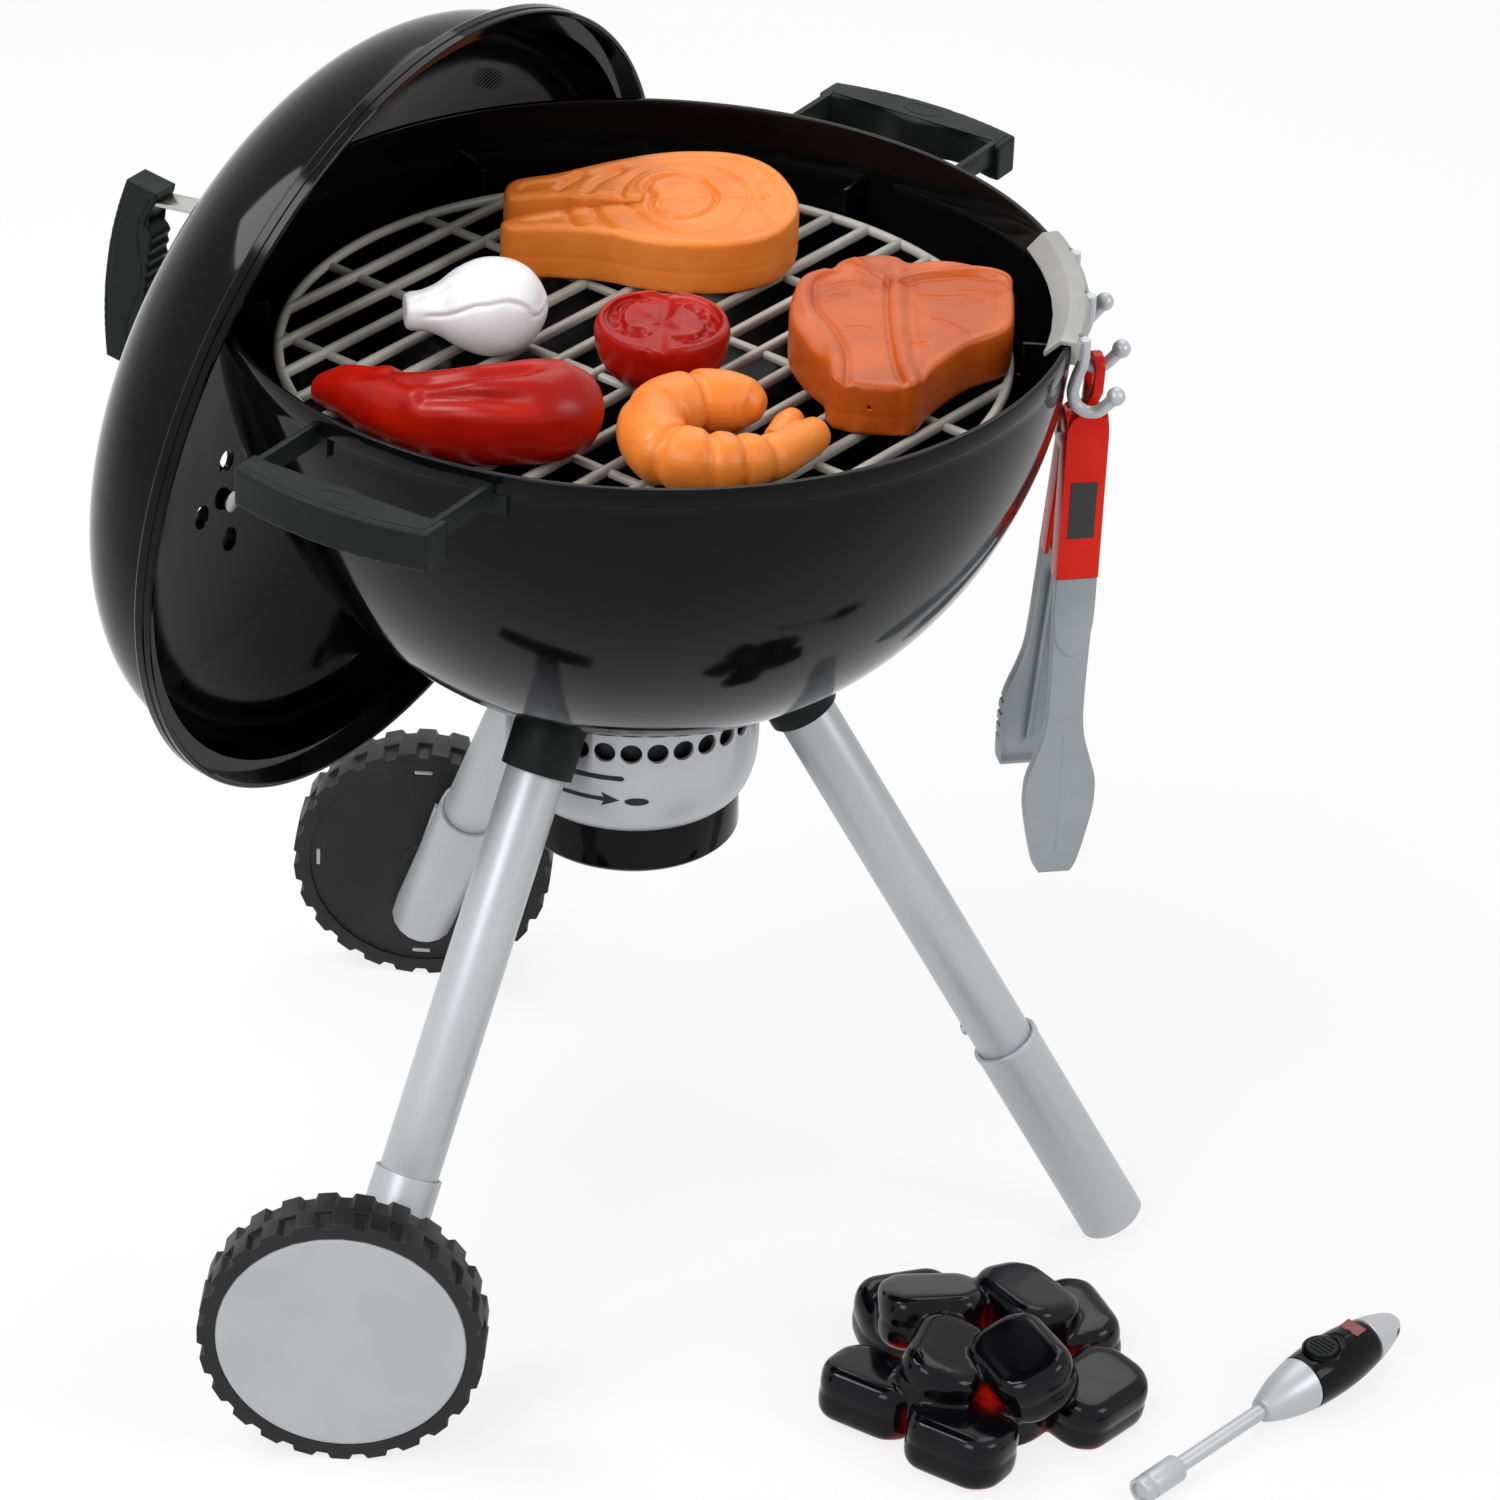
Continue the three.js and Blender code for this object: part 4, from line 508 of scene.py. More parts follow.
def bowl_curve(growth, lowest, steps=30):
    radius = body_radius + growth
    depth = curve_depth + growth
    end = asin(((skirt_height - lowest) / depth) ** (floor_power / 2))
    angles = [end * (1 - i / steps) for i in range(steps + 1)]
    return [(radius * cos(a) ** (2 / side_power), skirt_height - depth * sin(a) ** (2 / floor_power))
            for a in angles]


rim_inner = rim_radius - 2.8
bowl = turned("bowl", [
    (0, boss_low), (boss_radius, boss_low), (boss_radius, floor_height), *bowl_curve(0, floor_height),
    (body_radius, rim_height - rim_band), (rim_radius, rim_height - rim_band), (rim_radius, rim_height),
    (rim_inner, rim_height), (rim_inner, rim_height - 8),
    *reversed(bowl_curve(-bowl_wall, floor_height + bowl_wall)), (0, floor_height + bowl_wall),
], 160)
soften(bowl, 0.6)
place(bowl, upright)

rib_top = rim_height - 19.4
rib_seat = rim_height - 35.1
rib_inner = 158
seat_radius = 166
rib_half = 1.1
wall_line = [(r, z) for r, z in bowl_curve(-bowl_wall / 2, floor_height + bowl_wall)
             if rib_inner < r and z < rib_top]
for i in range(6):
    rib = slab("rib", [(rib_inner, rib_seat), (rib_inner, wall_line[0][1]), *wall_line,
                       (wall_line[-1][0], rib_top), (seat_radius, rib_top), (seat_radius, rib_seat)],
               -rib_half, rib_half)
    soften(rib, 0.3)
    place(rib, upright @ swing(i * pi / 3) @ swing(pi / 2, "X"))
    together(bowl, rib)
fit(bowl, gloss_black, "bowl")

# %% [markdown]
# Three straight legs slope out from the bowl. Each has a dark collar under the bowl, a silver tube, and a wider
# sleeve at its lower end. A leg is turned upright on the lathe and then aimed along its line.

# %% Legs
leg_turns = {"foot": 0, "near": radians(-120), "far": radians(120)}
leg_lean = radians(30.3)
leg_reach = 240.1
tube_radius = 13.6
sleeve_radius = 15.6
sleeve_tops = {"foot": 104, "near": 114, "far": 125}
collar_radius = 16.4
collar_mouth = 277.5
collar_top = floor_height + 33
sleeve_depth = 28
GAP = 0.3


def leg_point(leg, height):
    reach = leg_reach - height * tan(leg_lean)
    return Vector((reach * cos(leg_turns[leg]), reach * sin(leg_turns[leg]), height))


def leg_frame(leg, height):
    """Stands on the leg's line at that height, with up pointing along the leg."""
    way = (leg_point(leg, height + 1) - leg_point(leg, height)).normalized()
    return upright @ Matrix.Translation(leg_point(leg, height) * MM) @ aimed(way)


def leg_span(low, high):
    return (high - low) / cos(leg_lean)


for leg, top in sleeve_tops.items():
    collar = pipe(tube_radius + GAP, collar_radius, 0, leg_span(collar_mouth, collar_top), 64)
    place(collar, leg_frame(leg, collar_mouth))
    bowl_room = turned("bowl_room", [(0, floor_height - GAP), *bowl_curve(GAP, floor_height - GAP, 24),
                                     (body_radius + GAP, rim_height), (0, rim_height)])
    ash_room = peg(58.6, 260, floor_height, 96)
    place(bowl_room, upright)
    carve(collar, bowl_room, place(ash_room, upright))
    fit(soften(collar, 0.5, 3, 50), satin_black, "leg_collar_" + leg)

    tube_low = top - sleeve_depth * cos(leg_lean)
    tube = pipe(tube_radius - 1.6, tube_radius, 0, leg_span(tube_low, collar_mouth) + 16, 64)
    place(soften(tube, 0.3), leg_frame(leg, tube_low))
    if leg == "foot":
        nub = turned("nub", [(0, 12), (3, 12), (3, 14.6), (2.4, 15.2), (0, 15.2)], 24)
        place(nub, leg_frame(leg, 116) @ swing(-pi / 2, "Y"))
        together(tube, nub)
    fit(tube, silver_plastic, "leg_tube_" + leg)

cap_height = (sleeve_radius - 1.5) * sin(leg_lean) - 1.2
sleeve_length = leg_span(cap_height, sleeve_tops["foot"])
foot = turned("foot", [(0, 0), (sleeve_radius - 1.5, 0), (sleeve_radius, 1.5), (sleeve_radius, sleeve_length - 3.4),
                       (sleeve_radius + 0.5, sleeve_length - 3), (sleeve_radius + 0.5, sleeve_length),
                       (tube_radius + GAP, sleeve_length), (tube_radius + GAP, sleeve_length - sleeve_depth),
                       (0, sleeve_length - sleeve_depth)], 64)
soften(foot, 0.4)
place(foot, leg_frame("foot", cap_height))
flatten_below(foot)
fit(foot, silver_plastic, "foot_sleeve")
for side in ("near", "far"):
    from_solid("wheel_sleeve_" + side, silver_plastic, 0.6)


# %% [markdown]
# A wheel is one black moulding with two staggered rows of tread blocks, and a pale cap clips into its outer face.
# The tread's solid is already right, so a copy of it gets the soft edges of a moulding. The cap is turned new,
# because its edge shows as a wide smooth circle, and four clips behind it reach through the wheel.

# %% Wheels
wheel_width = 25
cap_radius = 56.1
cap_thick = 2.2
clip_place = 52
clip_thick = 2
clip_width = 9

for leg, side in (("near", -1), ("far", 1)):
    low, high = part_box("wheel_" + leg)
    centre = ((low.x + high.x) / 2, low.y if side > 0 else high.y, (low.z + high.z) / 2)
    at_wheel = Matrix.Translation(centre) @ swing(-side * pi / 2, "X")
    from_solid("wheel_" + leg, tread_black, 1.0, 3, 28)
    cap_low = wheel_width - cap_thick
    cap = turned("cap", [(0, cap_low), (cap_radius, cap_low), (cap_radius, wheel_width - 0.7),
                         (cap_radius - 0.7, wheel_width - 0.1), (cap_radius - 2.2, wheel_width),
                         (cap_radius - 3.4, wheel_width - 0.25), (0, wheel_width - 0.25)], 128)
    smooth(cap, 60)
    for i in range(4):
        nothing_selected()
        bpy.ops.mesh.primitive_cube_add(size=1, scale=(clip_thick * MM, clip_width * MM, (cap_low - 2) * MM))
        clip = soften(bpy.context.object, 0.4)
        place(clip, swing(i * pi / 2) @ shift(clip_place, 0, cap_low / 2 + 1))
        together(cap, clip)
    place(cap, at_wheel)
    fit(cap, pale_grey, "hubcap_" + leg)
    from_solid("axle_pin_" + leg, steel)

# %% [markdown]
# The grips are charcoal mouldings with a wave on the side that faces the bowl and a full curve on the other. The
# top has a slightly raised field, whose outline is the grip's own moved inwards. An oval ring in its middle is
# left bare.

# %% Bowl handles
grip_half = 49
grip_height = 18
grip_inner = 221
tooth_pitch = 6


def grip_outline(half, depth, bulge, valley, valley_place, teeth=0):
    """Runs along x, and y leads away from the piece that the grip serves. Teeth may stand in the middle."""
    points = []
    for i in range(40):
        x = -half + 2 * half * i / 40
        along, slope = (half - abs(x), half - valley_place) if abs(x) > valley_place else (x, valley_place)
        if abs(x) >= teeth * tooth_pitch / 2 + 0.5:
            points.append((x, valley * ((1 - cos(pi * along / slope)) / 2)))
    for k in range(teeth):
        start = (k - teeth / 2) * tooth_pitch
        points += [(start, 1), (start + 1.5, 0), (start + 3, 0), (start + 4.5, 1)]
    points.sort()
    curved = [half - 2 * half * i / 24 for i in range(25)]
    return [*points, (half, 0), *[(x, depth + bulge * (1 - (x / half) ** 2)) for x in curved]]


def inset(outline, width):
    """Moves a closed outline inwards, square to its sides."""
    count = len(outline)
    moved = []
    for i, (x, y) in enumerate(outline):
        (x0, y0), (x1, y1) = outline[i - 1], outline[(i + 1) % count]
        before = Vector((x - x0, y - y0)).normalized()
        after = Vector((x1 - x, y1 - y)).normalized()
        square = Vector((-before.y - after.y, before.x + after.x)).normalized()
        reach = width / max(0.5, square.dot(Vector((-before.y, before.x))))
        moved.append((x + square.x * reach, y + square.y * reach))
    return moved


def raised_field(outline, width, low, high):
    """A thin raised field a little way in from the edge of a face, so that a fine line runs round it."""
    return even_faces(slab("field", inset(outline, width), low, high), 0.5, 2)


top = rim_height - 4.4
grip_line = grip_outline(grip_half, 15, 7, 5.5, 25)
for side, turn in (("near", radians(-120)), ("far", radians(60))):
    grip = even_faces(slab("grip", grip_line, top - grip_height, top - 0.3), 0.8, 7)
    together(grip, raised_field(grip_line, 3.2, top - 1, top))
    ring = turned("ring", [(6.3, top - 0.2), (7.3, top - 0.2), (7.2, top + 0.12), (6.8, top + 0.2),
                           (6.4, top + 0.12), (6.3, top - 0.2)], 48)
    place(ring, shift(0, 12.5) @ Matrix.Diagonal((1.35, 0.72, 1, 1)))
    together(grip, ring)
    place(grip, upright @ swing(turn) @ shift(grip_inner) @ swing(-pi / 2))
    fit(grip, satin_black, "handle_grip_" + side)
    for hand in ("left", "right"):
        from_solid(f"handle_arm_{side}_{hand}", satin_black)

# %% [markdown]
# Under the bowl hangs the ash catcher: a silver ring that turns, with a row of air holes round it, and a black cup
# that pulls down out of it. The holes are cut with one row of short rods. A black lining behind them paints the
# shade inside the ring, where the real one has vanes. A slot, drawn as a thin black mark that paints its shade, and a
# plain arrow tell which way the ring turns.

# %% Ash catcher
band_radius = 58
band_wall = 2.2
band_top = floor_height - 0.6
band_height = 57
band_low = band_top - band_height
mouth_radius = 50.5
web_top = band_top - 3.2
web_low = web_top - 2.5
mouth_shares = [(0, 0), (0.3, 0.04), (0.53, 0.09), (0.72, 0.155), (0.87, 0.23), (0.96, 0.32), (1, 0.42)]
shade_lining_inner, shade_lining_outer = 51.5, 52.6
hole_radius = 4.9
hole_row = 282.9
hole_count = 30
hole_start = radians(-90 + 2.6)

skirt = [(mouth_radius + (band_radius - mouth_radius) * out, band_low + band_height * up) for out, up in mouth_shares]
lining = [(r - band_wall, z) for r, z in reversed(skirt)]
band = turned("band", [*skirt, (band_radius, band_top), (band_radius - band_wall, band_top),
                       (band_radius - band_wall, web_top), (12.3, web_top), (12.3, web_low),
                       (band_radius - band_wall, web_low), *lining, skirt[0]], 120)


def air_hole(i):
    rod = peg(hole_radius, 50, 62, 28)
    return place(rod, shift(0, 0, hole_row) @ swing(hole_start + 2 * pi * i / hole_count) @ swing(pi / 2, "Y"))


carve(band, gathered(air_hole(i) for i in range(hole_count)))
soften(band, 0.3, 2, 50)
place(band, upright)
fit(band, silver_plastic, "ash_band")

# a black lining behind the air holes: painted shade for the inside of the ring, where the real vanes lie
shade_lining = pipe(shade_lining_inner, shade_lining_outer, web_low - 12, web_low - 0.5, 90)
together(shade_lining, pipe(shade_lining_inner, shade_lining_outer, web_top + 0.1, band_top - 0.2, 90))
smooth(shade_lining)
place(shade_lining, upright)
detail(shade_lining, tread_black, "ash_band_vanes", "ash_band")


def wrapped(name, outline, middle):
    """A thin mark cut flat and then bent round the ring: x becomes the way round, y the height."""
    mark = slab(name, outline, 0, 0.3)
    pick(mark)
    edit_all()
    bpy.ops.mesh.quads_convert_to_tris()
    bpy.ops.mesh.subdivide(number_cuts=2)
    finish_editing()
    outs, ups = zip(*mouth_shares)
    for vertex in mark.data.vertices:
        turn = vertex.co.x / (band_radius * MM)
        height = vertex.co.y / MM
        out = float(np.interp((height - band_low) / band_height, ups, outs))
        reach = mouth_radius + (band_radius - mouth_radius) * out + 0.05 + vertex.co.z / MM
        vertex.co = (reach * MM * cos(turn), reach * MM * sin(turn), height * MM)
    return place(mark, upright @ swing(radians(middle)))


slot_shade_line = [(-16, 268.9), (13, 268.9), (14.2, 270.1), (13, 271.3), (-16, 271.3)]
arrow_line = [(-16, 257.7), (9, 257.7), (8, 255.2), (16, 258.7), (8, 262.2), (9, 259.7), (-16, 259.7)]
oval_line = [(24 + 5.5 * cos(i * pi / 12), 258.2 + 1.9 * sin(i * pi / 12)) for i in range(24)]
# the slot is a thin black mark, painted shade for the slot in the ring; the arrow and the oval are plain marks
marks = wrapped("slot", slot_shade_line, -104)
together(marks, wrapped("arrow", arrow_line, -108), wrapped("oval", oval_line, -108))
detail(marks, tread_black, "ash_band_marks", "ash_band")

from_solid("ash_washer", steel)
from_solid("ash_screw", steel)

shoulder = band_low - GAP
cup_base = shoulder - 23
neck = mouth_radius - band_wall - GAP
cup = turned("cup", [(0, cup_base), (47.9, cup_base), (50.4, cup_base + 2.5), (49.5, shoulder), (neck, shoulder),
                     (neck, shoulder + 9), (neck - 2, shoulder + 9), (neck - 2, shoulder - 2),
                     (48.4, cup_base + 3.5), (45.9, cup_base + 2), (0, cup_base + 2)], 120)
soften(cup, 0.8, 3, 30)
place(cup, upright)
fit(cup, gloss_black, "ash_cup")

# %% [markdown]
# The grate is a round ring with fifteen round-topped bars across it, and four flatter bars under them the other
# way. One bar is a block whose long edges are bevelled until it is round, and each copy is cut to its own length.

# %% Grate
grate_radius = 163
ring_width = 4.5
grate_top = rim_height - 29.8
grate_low = grate_top - 5
bar_turn = radians(54)
bar_pitch = 20


def bar(length, width, low, high, rounding):
    nothing_selected()
    bpy.ops.mesh.primitive_cube_add(size=1, location=(0, 0, (low + high) / 2 * MM),
                                    scale=(width * MM, length * MM, (high - low) * MM))
    made = bpy.context.object
    bpy.ops.object.transform_apply(location=True, rotation=True, scale=True)
    soften(made, rounding, 4, 60)
    return made


ring_middle = grate_radius - ring_width / 2
round_edge = [(ring_middle + ring_width / 2 * cos(i * pi / 8), (grate_top - 0.3 + grate_low) / 2
               + (grate_top - 0.3 - grate_low) / 2 * sin(i * pi / 8)) for i in range(17)]
grate = turned("grate", round_edge, 144)
smooth(grate, 60)
bars = []
for i in range(-7, 8):
    made = bar(2 * (sqrt(ring_middle ** 2 - (i * bar_pitch) ** 2) + 0.9), 4.3, grate_low, grate_top, 1.9)
    bars.append(place(made, swing(bar_turn - pi / 2) @ shift(i * bar_pitch)))
for share in (-0.6, -0.2, 0.2, 0.6):
    across = share * grate_radius
    made = bar(2 * sqrt(ring_middle ** 2 - across ** 2), 4, grate_low, grate_low + 3.4, 1.2)
    bars.append(place(made, swing(bar_turn) @ shift(across)))
together(grate, *bars)
place(grate, upright)
fit(grate, grate_grey, "grate")


# %% [markdown]
# The pretend food is moulded in soft shapes with shallow relief, so its surface needs small even faces that can be
# pushed in and out. Each shape starts as a cut slab, a turned form or a tube. A voxel remesh gives it the even
# faces, and smoothing rounds its edges. Then smooth lines, each led through a few chosen points, are pressed in.

# %% Relief tools
table_height = rim_height - 29.5


def serve(piece, across, deep, finish, node):
    """Lays food on the grate, so many shares of its radius from the middle."""
    place(piece, upright @ shift(across * grate_radius, deep * grate_radius, table_height))
    fit(piece, finish, node)


def scaled(shares, wide, high):
    return [(x * wide, y * high) for x, y in shares]


def through(points, closed=False, per=6):
    """A smooth line that passes through a few chosen points."""
    points = [Vector(p) for p in points]
    count = len(points)
    line = []
    for i in range(count if closed else count - 1):
        before = points[i - 1] if closed or i > 0 else points[0]
        start = points[i]
        end = points[(i + 1) % count]
        after = points[(i + 2) % count] if closed or i + 2 < count else points[-1]
        for k in range(per):
            t = k / per
            line.append(start + (end - before) * (t / 2) + (2 * before - 5 * start + 4 * end - after) * (t * t / 2)
                        + (3 * start - before - 3 * end + after) * (t ** 3 / 2))
    if not closed:
        line.append(points[-1])
    return [tuple(p) for p in line]


def read_points(piece, what):
    values = np.empty(len(piece.data.vertices) * 3)
    piece.data.vertices.foreach_get(what, values)
    return values.reshape(-1, 3)


def push(piece, depths, facing=None):
    """Moves each point inwards by its own depth; facing limits this to the side that looks that way."""
    places = read_points(piece, "co")
    normals = read_points(piece, "normal")
    if facing:
        depths = depths * np.clip(normals @ np.array(facing) * 1.6 - 0.4, 0, 1)
    places -= normals * (depths * MM)[:, None]
    piece.data.vertices.foreach_set("co", places.ravel())
    piece.data.update()


def distance_to(piece, line, closed=False):
    """How far each point of the piece is from a line, in plan for a line of (x, y) points."""
    line = np.array(line)
    places = read_points(piece, "co")[:, :line.shape[1]] / MM
    nearest = np.full(len(places), 1e9)
    ends = np.roll(line, -1, axis=0) if closed else line[1:]
    for start, end in zip(line, ends):
        way = end - start
        share = np.clip((places - start) @ way / (way @ way), 0, 1)
        nearest = np.minimum(nearest, np.linalg.norm(places - start - share[:, None] * way, axis=1))
    return nearest


def groove(piece, line, depth, width, facing=None, closed=False):
    """Pushes a soft groove in along a line, or a ridge out where depth is below zero."""
    push(piece, depth * np.exp(-(distance_to(piece, line, closed) / width) ** 2), facing)


def within(piece, outline):
    """Which points of the piece lie inside an outline in plan."""
    x, y = (read_points(piece, "co")[:, :2] / MM).T
    inside = np.zeros(len(x), bool)
    for (x1, y1), (x2, y2) in zip(outline, [*outline[1:], outline[0]]):
        if y1 != y2:
            inside ^= ((y1 > y) != (y2 > y)) & (x < (x2 - x1) * (y - y1) / (y2 - y1) + x1)
    return inside


TOP = (0, 0, 1)


def press(piece, points, depth, width, facing=TOP, offset=0, closed=False):
    """Presses a soft groove along a line or several lines, or raises a ridge where depth is below zero."""
    lines = points if isinstance(points[0], list) else [points]
    away = np.min([distance_to(piece, through(line, closed), closed) for line in lines], axis=0)
    push(piece, 1.45 * depth * np.exp(-((away - offset) / width) ** 2), facing)


def sink(piece, outline, depth, margin, slope):
    """Lowers what lies inside an outline, further in than the margin, down a slope."""
    away = np.where(within(piece, outline), distance_to(piece, outline, True), 0)
    share = np.clip((away - margin) / slope, 0, 1)
    push(piece, depth * share * share * (3 - 2 * share), TOP)


# %% [markdown]
# The fish is a slice cut across, with two flaps. Its rim stands up all round, the flesh lies a little lower, and two
# rings, a centre line and curved ribs are pressed into it. On the walls of the slot stand the bones' round ends.

# %% Fish
fish_length = 131
fish_width = 97
fish_height = 26
fish_shares = [(-0.5, 0.07), (-0.35, 0.18), (-0.19, 0.325), (-0.02, 0.45), (0.13, 0.5), (0.28, 0.49), (0.39, 0.385),
               (0.46, 0.21), (0.5, 0.01), (0.49, -0.16), (0.43, -0.34), (0.31, -0.455), (0.17, -0.5), (0.01, -0.49),
               (-0.16, -0.42), (-0.31, -0.41), (-0.48, -0.43), (-0.5, -0.34), (-0.33, -0.19), (-0.15, -0.12),
               (-0.03, -0.075), (-0.16, -0.045), (-0.33, -0.055), (-0.5, -0.12)]
fish_outline = through(scaled(fish_shares, fish_length, fish_width), closed=True, per=4)
fish = slab("fish", fish_outline, 0, fish_height)
even_faces(fish, 0.9, 34)
sink(fish, fish_outline, 1.1, 5.5, 3)
outer_ring = [(-14, -6), (-15, 4), (-12, 17), (-4, 29), (7, 34), (21, 35), (33, 26), (41, 13), (43, 1), (41, -12),
              (35, -25), (25, -34), (13, -36), (2, -29), (-6, -20)]
inner_ring = [(0, 0), (-4, 6), (-3, 14), (2, 20), (10, 22), (20, 18), (26, 8), (28, -1), (25, -12), (19, -19),
              (12, -22), (5, -19), (-1, -12)]
press(fish, outer_ring, 0.9, 1.3, closed=True)
press(fish, inner_ring, 1.2, 1.3, closed=True)
press(fish, inner_ring, -0.5, 1.6, offset=3, closed=True)
for line in ([(0, -3), (16, 0), (32, 2), (50, 6)], [(50, 6), (46, 15), (51, 27)], [(50, 6), (47, -4), (52, -20)]):
    press(fish, line, 0.8, 1.1)
ribs = [[(-44, 0), (-41, 7), (-34, 17)], [(-30, 0), (-26, 13), (-17, 25)],
        [(-43, -9), (-37, -26), (-32, -34)], [(-29, -8), (-24, -24), (-17, -34)]]
for line in ribs:
    press(fish, line, 1.4, 2.2)
for place_along in (-48, -33, -19):
    for reach in (-0.9, 0.9):
        bone = [(place_along + reach, -2, 3), (place_along + reach, -2, fish_height - 3)]
        groove(fish, bone, -1.1, 5, (0, -1, 0))
for place_along in (-24, -17):
    groove(fish, [(place_along - 2, -44, 9), (place_along, -44, fish_height)], 1.4, 2.6)
groove(fish, [(x, y, 11) for x, y in fish_outline], 0.22, 0.9, closed=True)
use(fish, "SMOOTH", factor=0.4, iterations=1)
serve(fish, -0.012, 0.592, fish_orange, "fish_steak")

# %% [markdown]
# The steak has a bone like a T. It stands up from the meat, with a sharp line along one side of its stem, and a
# rounded border of fat runs down the left edge. Short shallow strokes break up the meat.

# %% Steak
steak_length = 142
steak_width = 99
steak_height = 25
steak_shares = [(-0.33, 0.39), (-0.29, 0.45), (-0.15, 0.5), (-0.03, 0.495), (0.02, 0.455), (0.13, 0.485),
                (0.29, 0.475), (0.43, 0.43), (0.48, 0.36), (0.495, 0.22), (0.475, 0.04), (0.3, -0.08),
                (0.16, -0.24), (0.1, -0.35), (0.05, -0.395), (-0.11, -0.4), (-0.26, -0.38), (-0.31, -0.33),
                (-0.325, -0.24), (-0.4, -0.16), (-0.48, -0.02), (-0.5, 0.09), (-0.49, 0.22), (-0.44, 0.33)]
steak_outline = through(scaled(steak_shares, steak_width, steak_length), closed=True, per=4)
steak = slab("steak", steak_outline, 0, steak_height)
even_faces(steak, 0.9, 60)
sink(steak, steak_outline, 0.8, 6, 5)
stem = [(-3, 45), (-3, 25), (-2, 6), (0, -18), (3, -40), (6, -53)]
arm = [(-22, 60), (-15, 52), (-3, 46), (11, 54), (27, 58), (40, 56), (48, 50)]
stem_left = [(x - 4.6, y) for x, y in stem]
fat_line = [(-30, 50), (-38, 42), (-39, 30), (-37, 14), (-31, 0), (-26, -14), (-23, -28), (-22, -54)]
press(steak, [stem, arm], -1.6, 3.4)
press(steak, stem_left, 1.2, 0.9)
press(steak, [(x + 6.5, y) for x, y in stem], 0.5, 2.2)
press(steak, [(x, y - 5) for x, y in arm[2:]], 0.9, 1.5)
press(steak, [(x, y + 6) for x, y in arm[2:]], 0.6, 2.0)
press(steak, [(-20, 55), (-13, 48), (-6, 42)], 0.9, 1.0)
press(steak, fat_line, 1.1, 1.2)
press(steak, [(x - 5.5, y) for x, y in fat_line], -0.9, 3)
strokes = [[(-35, 36), (-28, 42), (-20, 43), (-13, 36)], [(-34, 26), (-30, 30), (-24, 30)],
           [(-24, -1), (-19, 1), (-13, 0)], [(7, 34), (18, 34), (27, 36), (36, 30)], [(12, 12), (21, 9), (30, -2)],
           [(4, -12), (11, -11)], [(24, 41), (36, 40), (44, 37)]]
for line in strokes:
    press(steak, line, -0.55, 1.0)
    press(steak, [(x, y - 2.4) for x, y in line], 0.3, 1.2)
for place_across in (-19, 1):
    groove(steak, [(place_across, -58, 4), (place_across, -58, steak_height)], 1.2, 2.4)
groove(steak, [(x, y, 10) for x, y in steak_outline], 0.22, 0.9, closed=True)
carve(steak, place(peg(0.9, -62, -40, 16), shift(-12, 0, 14) @ swing(-pi / 2, "X")))
use(steak, "SMOOTH", factor=0.4, iterations=1)
serve(steak, 0.691, -0.123, steak_brown, "t_bone_steak")

# %% [markdown]
# The tomato is cut across, with two hollows full of seeds and a rim round them. It is turned, and then the hollows
# are sunk inside their outlines and each seed is raised as a small round bump.

# %% Tomato
tomato_radius = 30
tomato_height = 28
skin_shares = [(0.5, 0), (0.74, 0.13), (0.92, 0.4), (1, 0.78), (0.98, 0.96), (0.93, 1)]
tomato = turned("tomato", [(0, 0), *through(scaled(skin_shares, tomato_radius, tomato_height)), (26, tomato_height),
                           (24.5, tomato_height - 1.6), (0, tomato_height - 0.6)])
even_faces(tomato, 0.7, 8)
left_cell = through([(-3, 20), (-10, 23), (-17, 21), (-22, 14), (-24, 3), (-22, -7), (-17, -13), (-9, -15), (-4, -11),
                     (-8, -7), (-14, -6), (-17, 1), (-17, 9), (-14, 16), (-8, 18)], True)
right_cell = through([(6, 20), (15, 17), (22, 8), (25, -4), (22, -14), (15, -18), (8, -17), (4, -13), (9, -11),
                      (15, -9), (18, 0), (14, 10), (8, 15)], True)
for cell in (left_cell, right_cell):
    sink(tomato, cell, 2.6, 0, 1.5)
seeds = [(-12, 20), (-18, 15), (-20, 7), (-20, -1), (-17, -8), (-11, -12), (9, 17), (16, 12), (20, 4), (21, -5),
         (17, -13), (10, -14)]
for x, y in seeds:
    groove(tomato, [(x - 0.5, y - 0.3), (x + 0.5, y + 0.3)], -2.1, 1.7, TOP)
press(tomato, [(0, 27), (1, 10), (0, -10), (0, -27)], 0.9, 3.2)
turn_of = np.arctan2(*read_points(tomato, "co")[:, 1::-1].T)
height_of = read_points(tomato, "co")[:, 2] / (tomato_height * MM)
push(tomato, 0.9 * (1 - np.cos(5 * (turn_of + 1.55))) / 2 * np.clip(height_of * 2, 0, 1) * (height_of < 0.99))
for x in (-8, 0, 8):
    groove(tomato, [(x, -30, 26), (x * 0.4, -30, 12)], 0.8, 1.8)
serve(tomato, 0.055, -0.19, food_red, "tomato_half")


# %% [markdown]
# The garlic is turned and laid on its side. The pepper and the prawn are tubes that grow and shrink along a bent
# line: a curve whose points each have their own radius makes them. The prawn narrows between its segments.

# %% Garlic, pepper and prawn


def spread(values, count):
    """Reads a list of values at evenly spaced places along it."""
    return np.interp(np.linspace(0, len(values) - 1, count), np.arange(len(values)), values)


def bent_tube(name, route, radii, sides=6):
    """A tube along a line of (x, y, z) points, with a radius at each point."""
    data = bpy.data.curves.new(name, "CURVE")
    data.dimensions = "3D"
    data.bevel_depth = MM
    data.bevel_resolution = sides
    data.use_fill_caps = True
    spline = data.splines.new("POLY")
    spline.points.add(len(route) - 1)
    for spot, here, radius in zip(spline.points, route, radii):
        spot.co = (*[v * MM for v in here], 1)
        spot.radius = radius
    piece = bpy.data.objects.new(name, data)
    bpy.context.scene.collection.objects.link(piece)
    pick(piece)
    bpy.ops.object.convert(target="MESH")
    edit_all()
    close_up()
    return piece


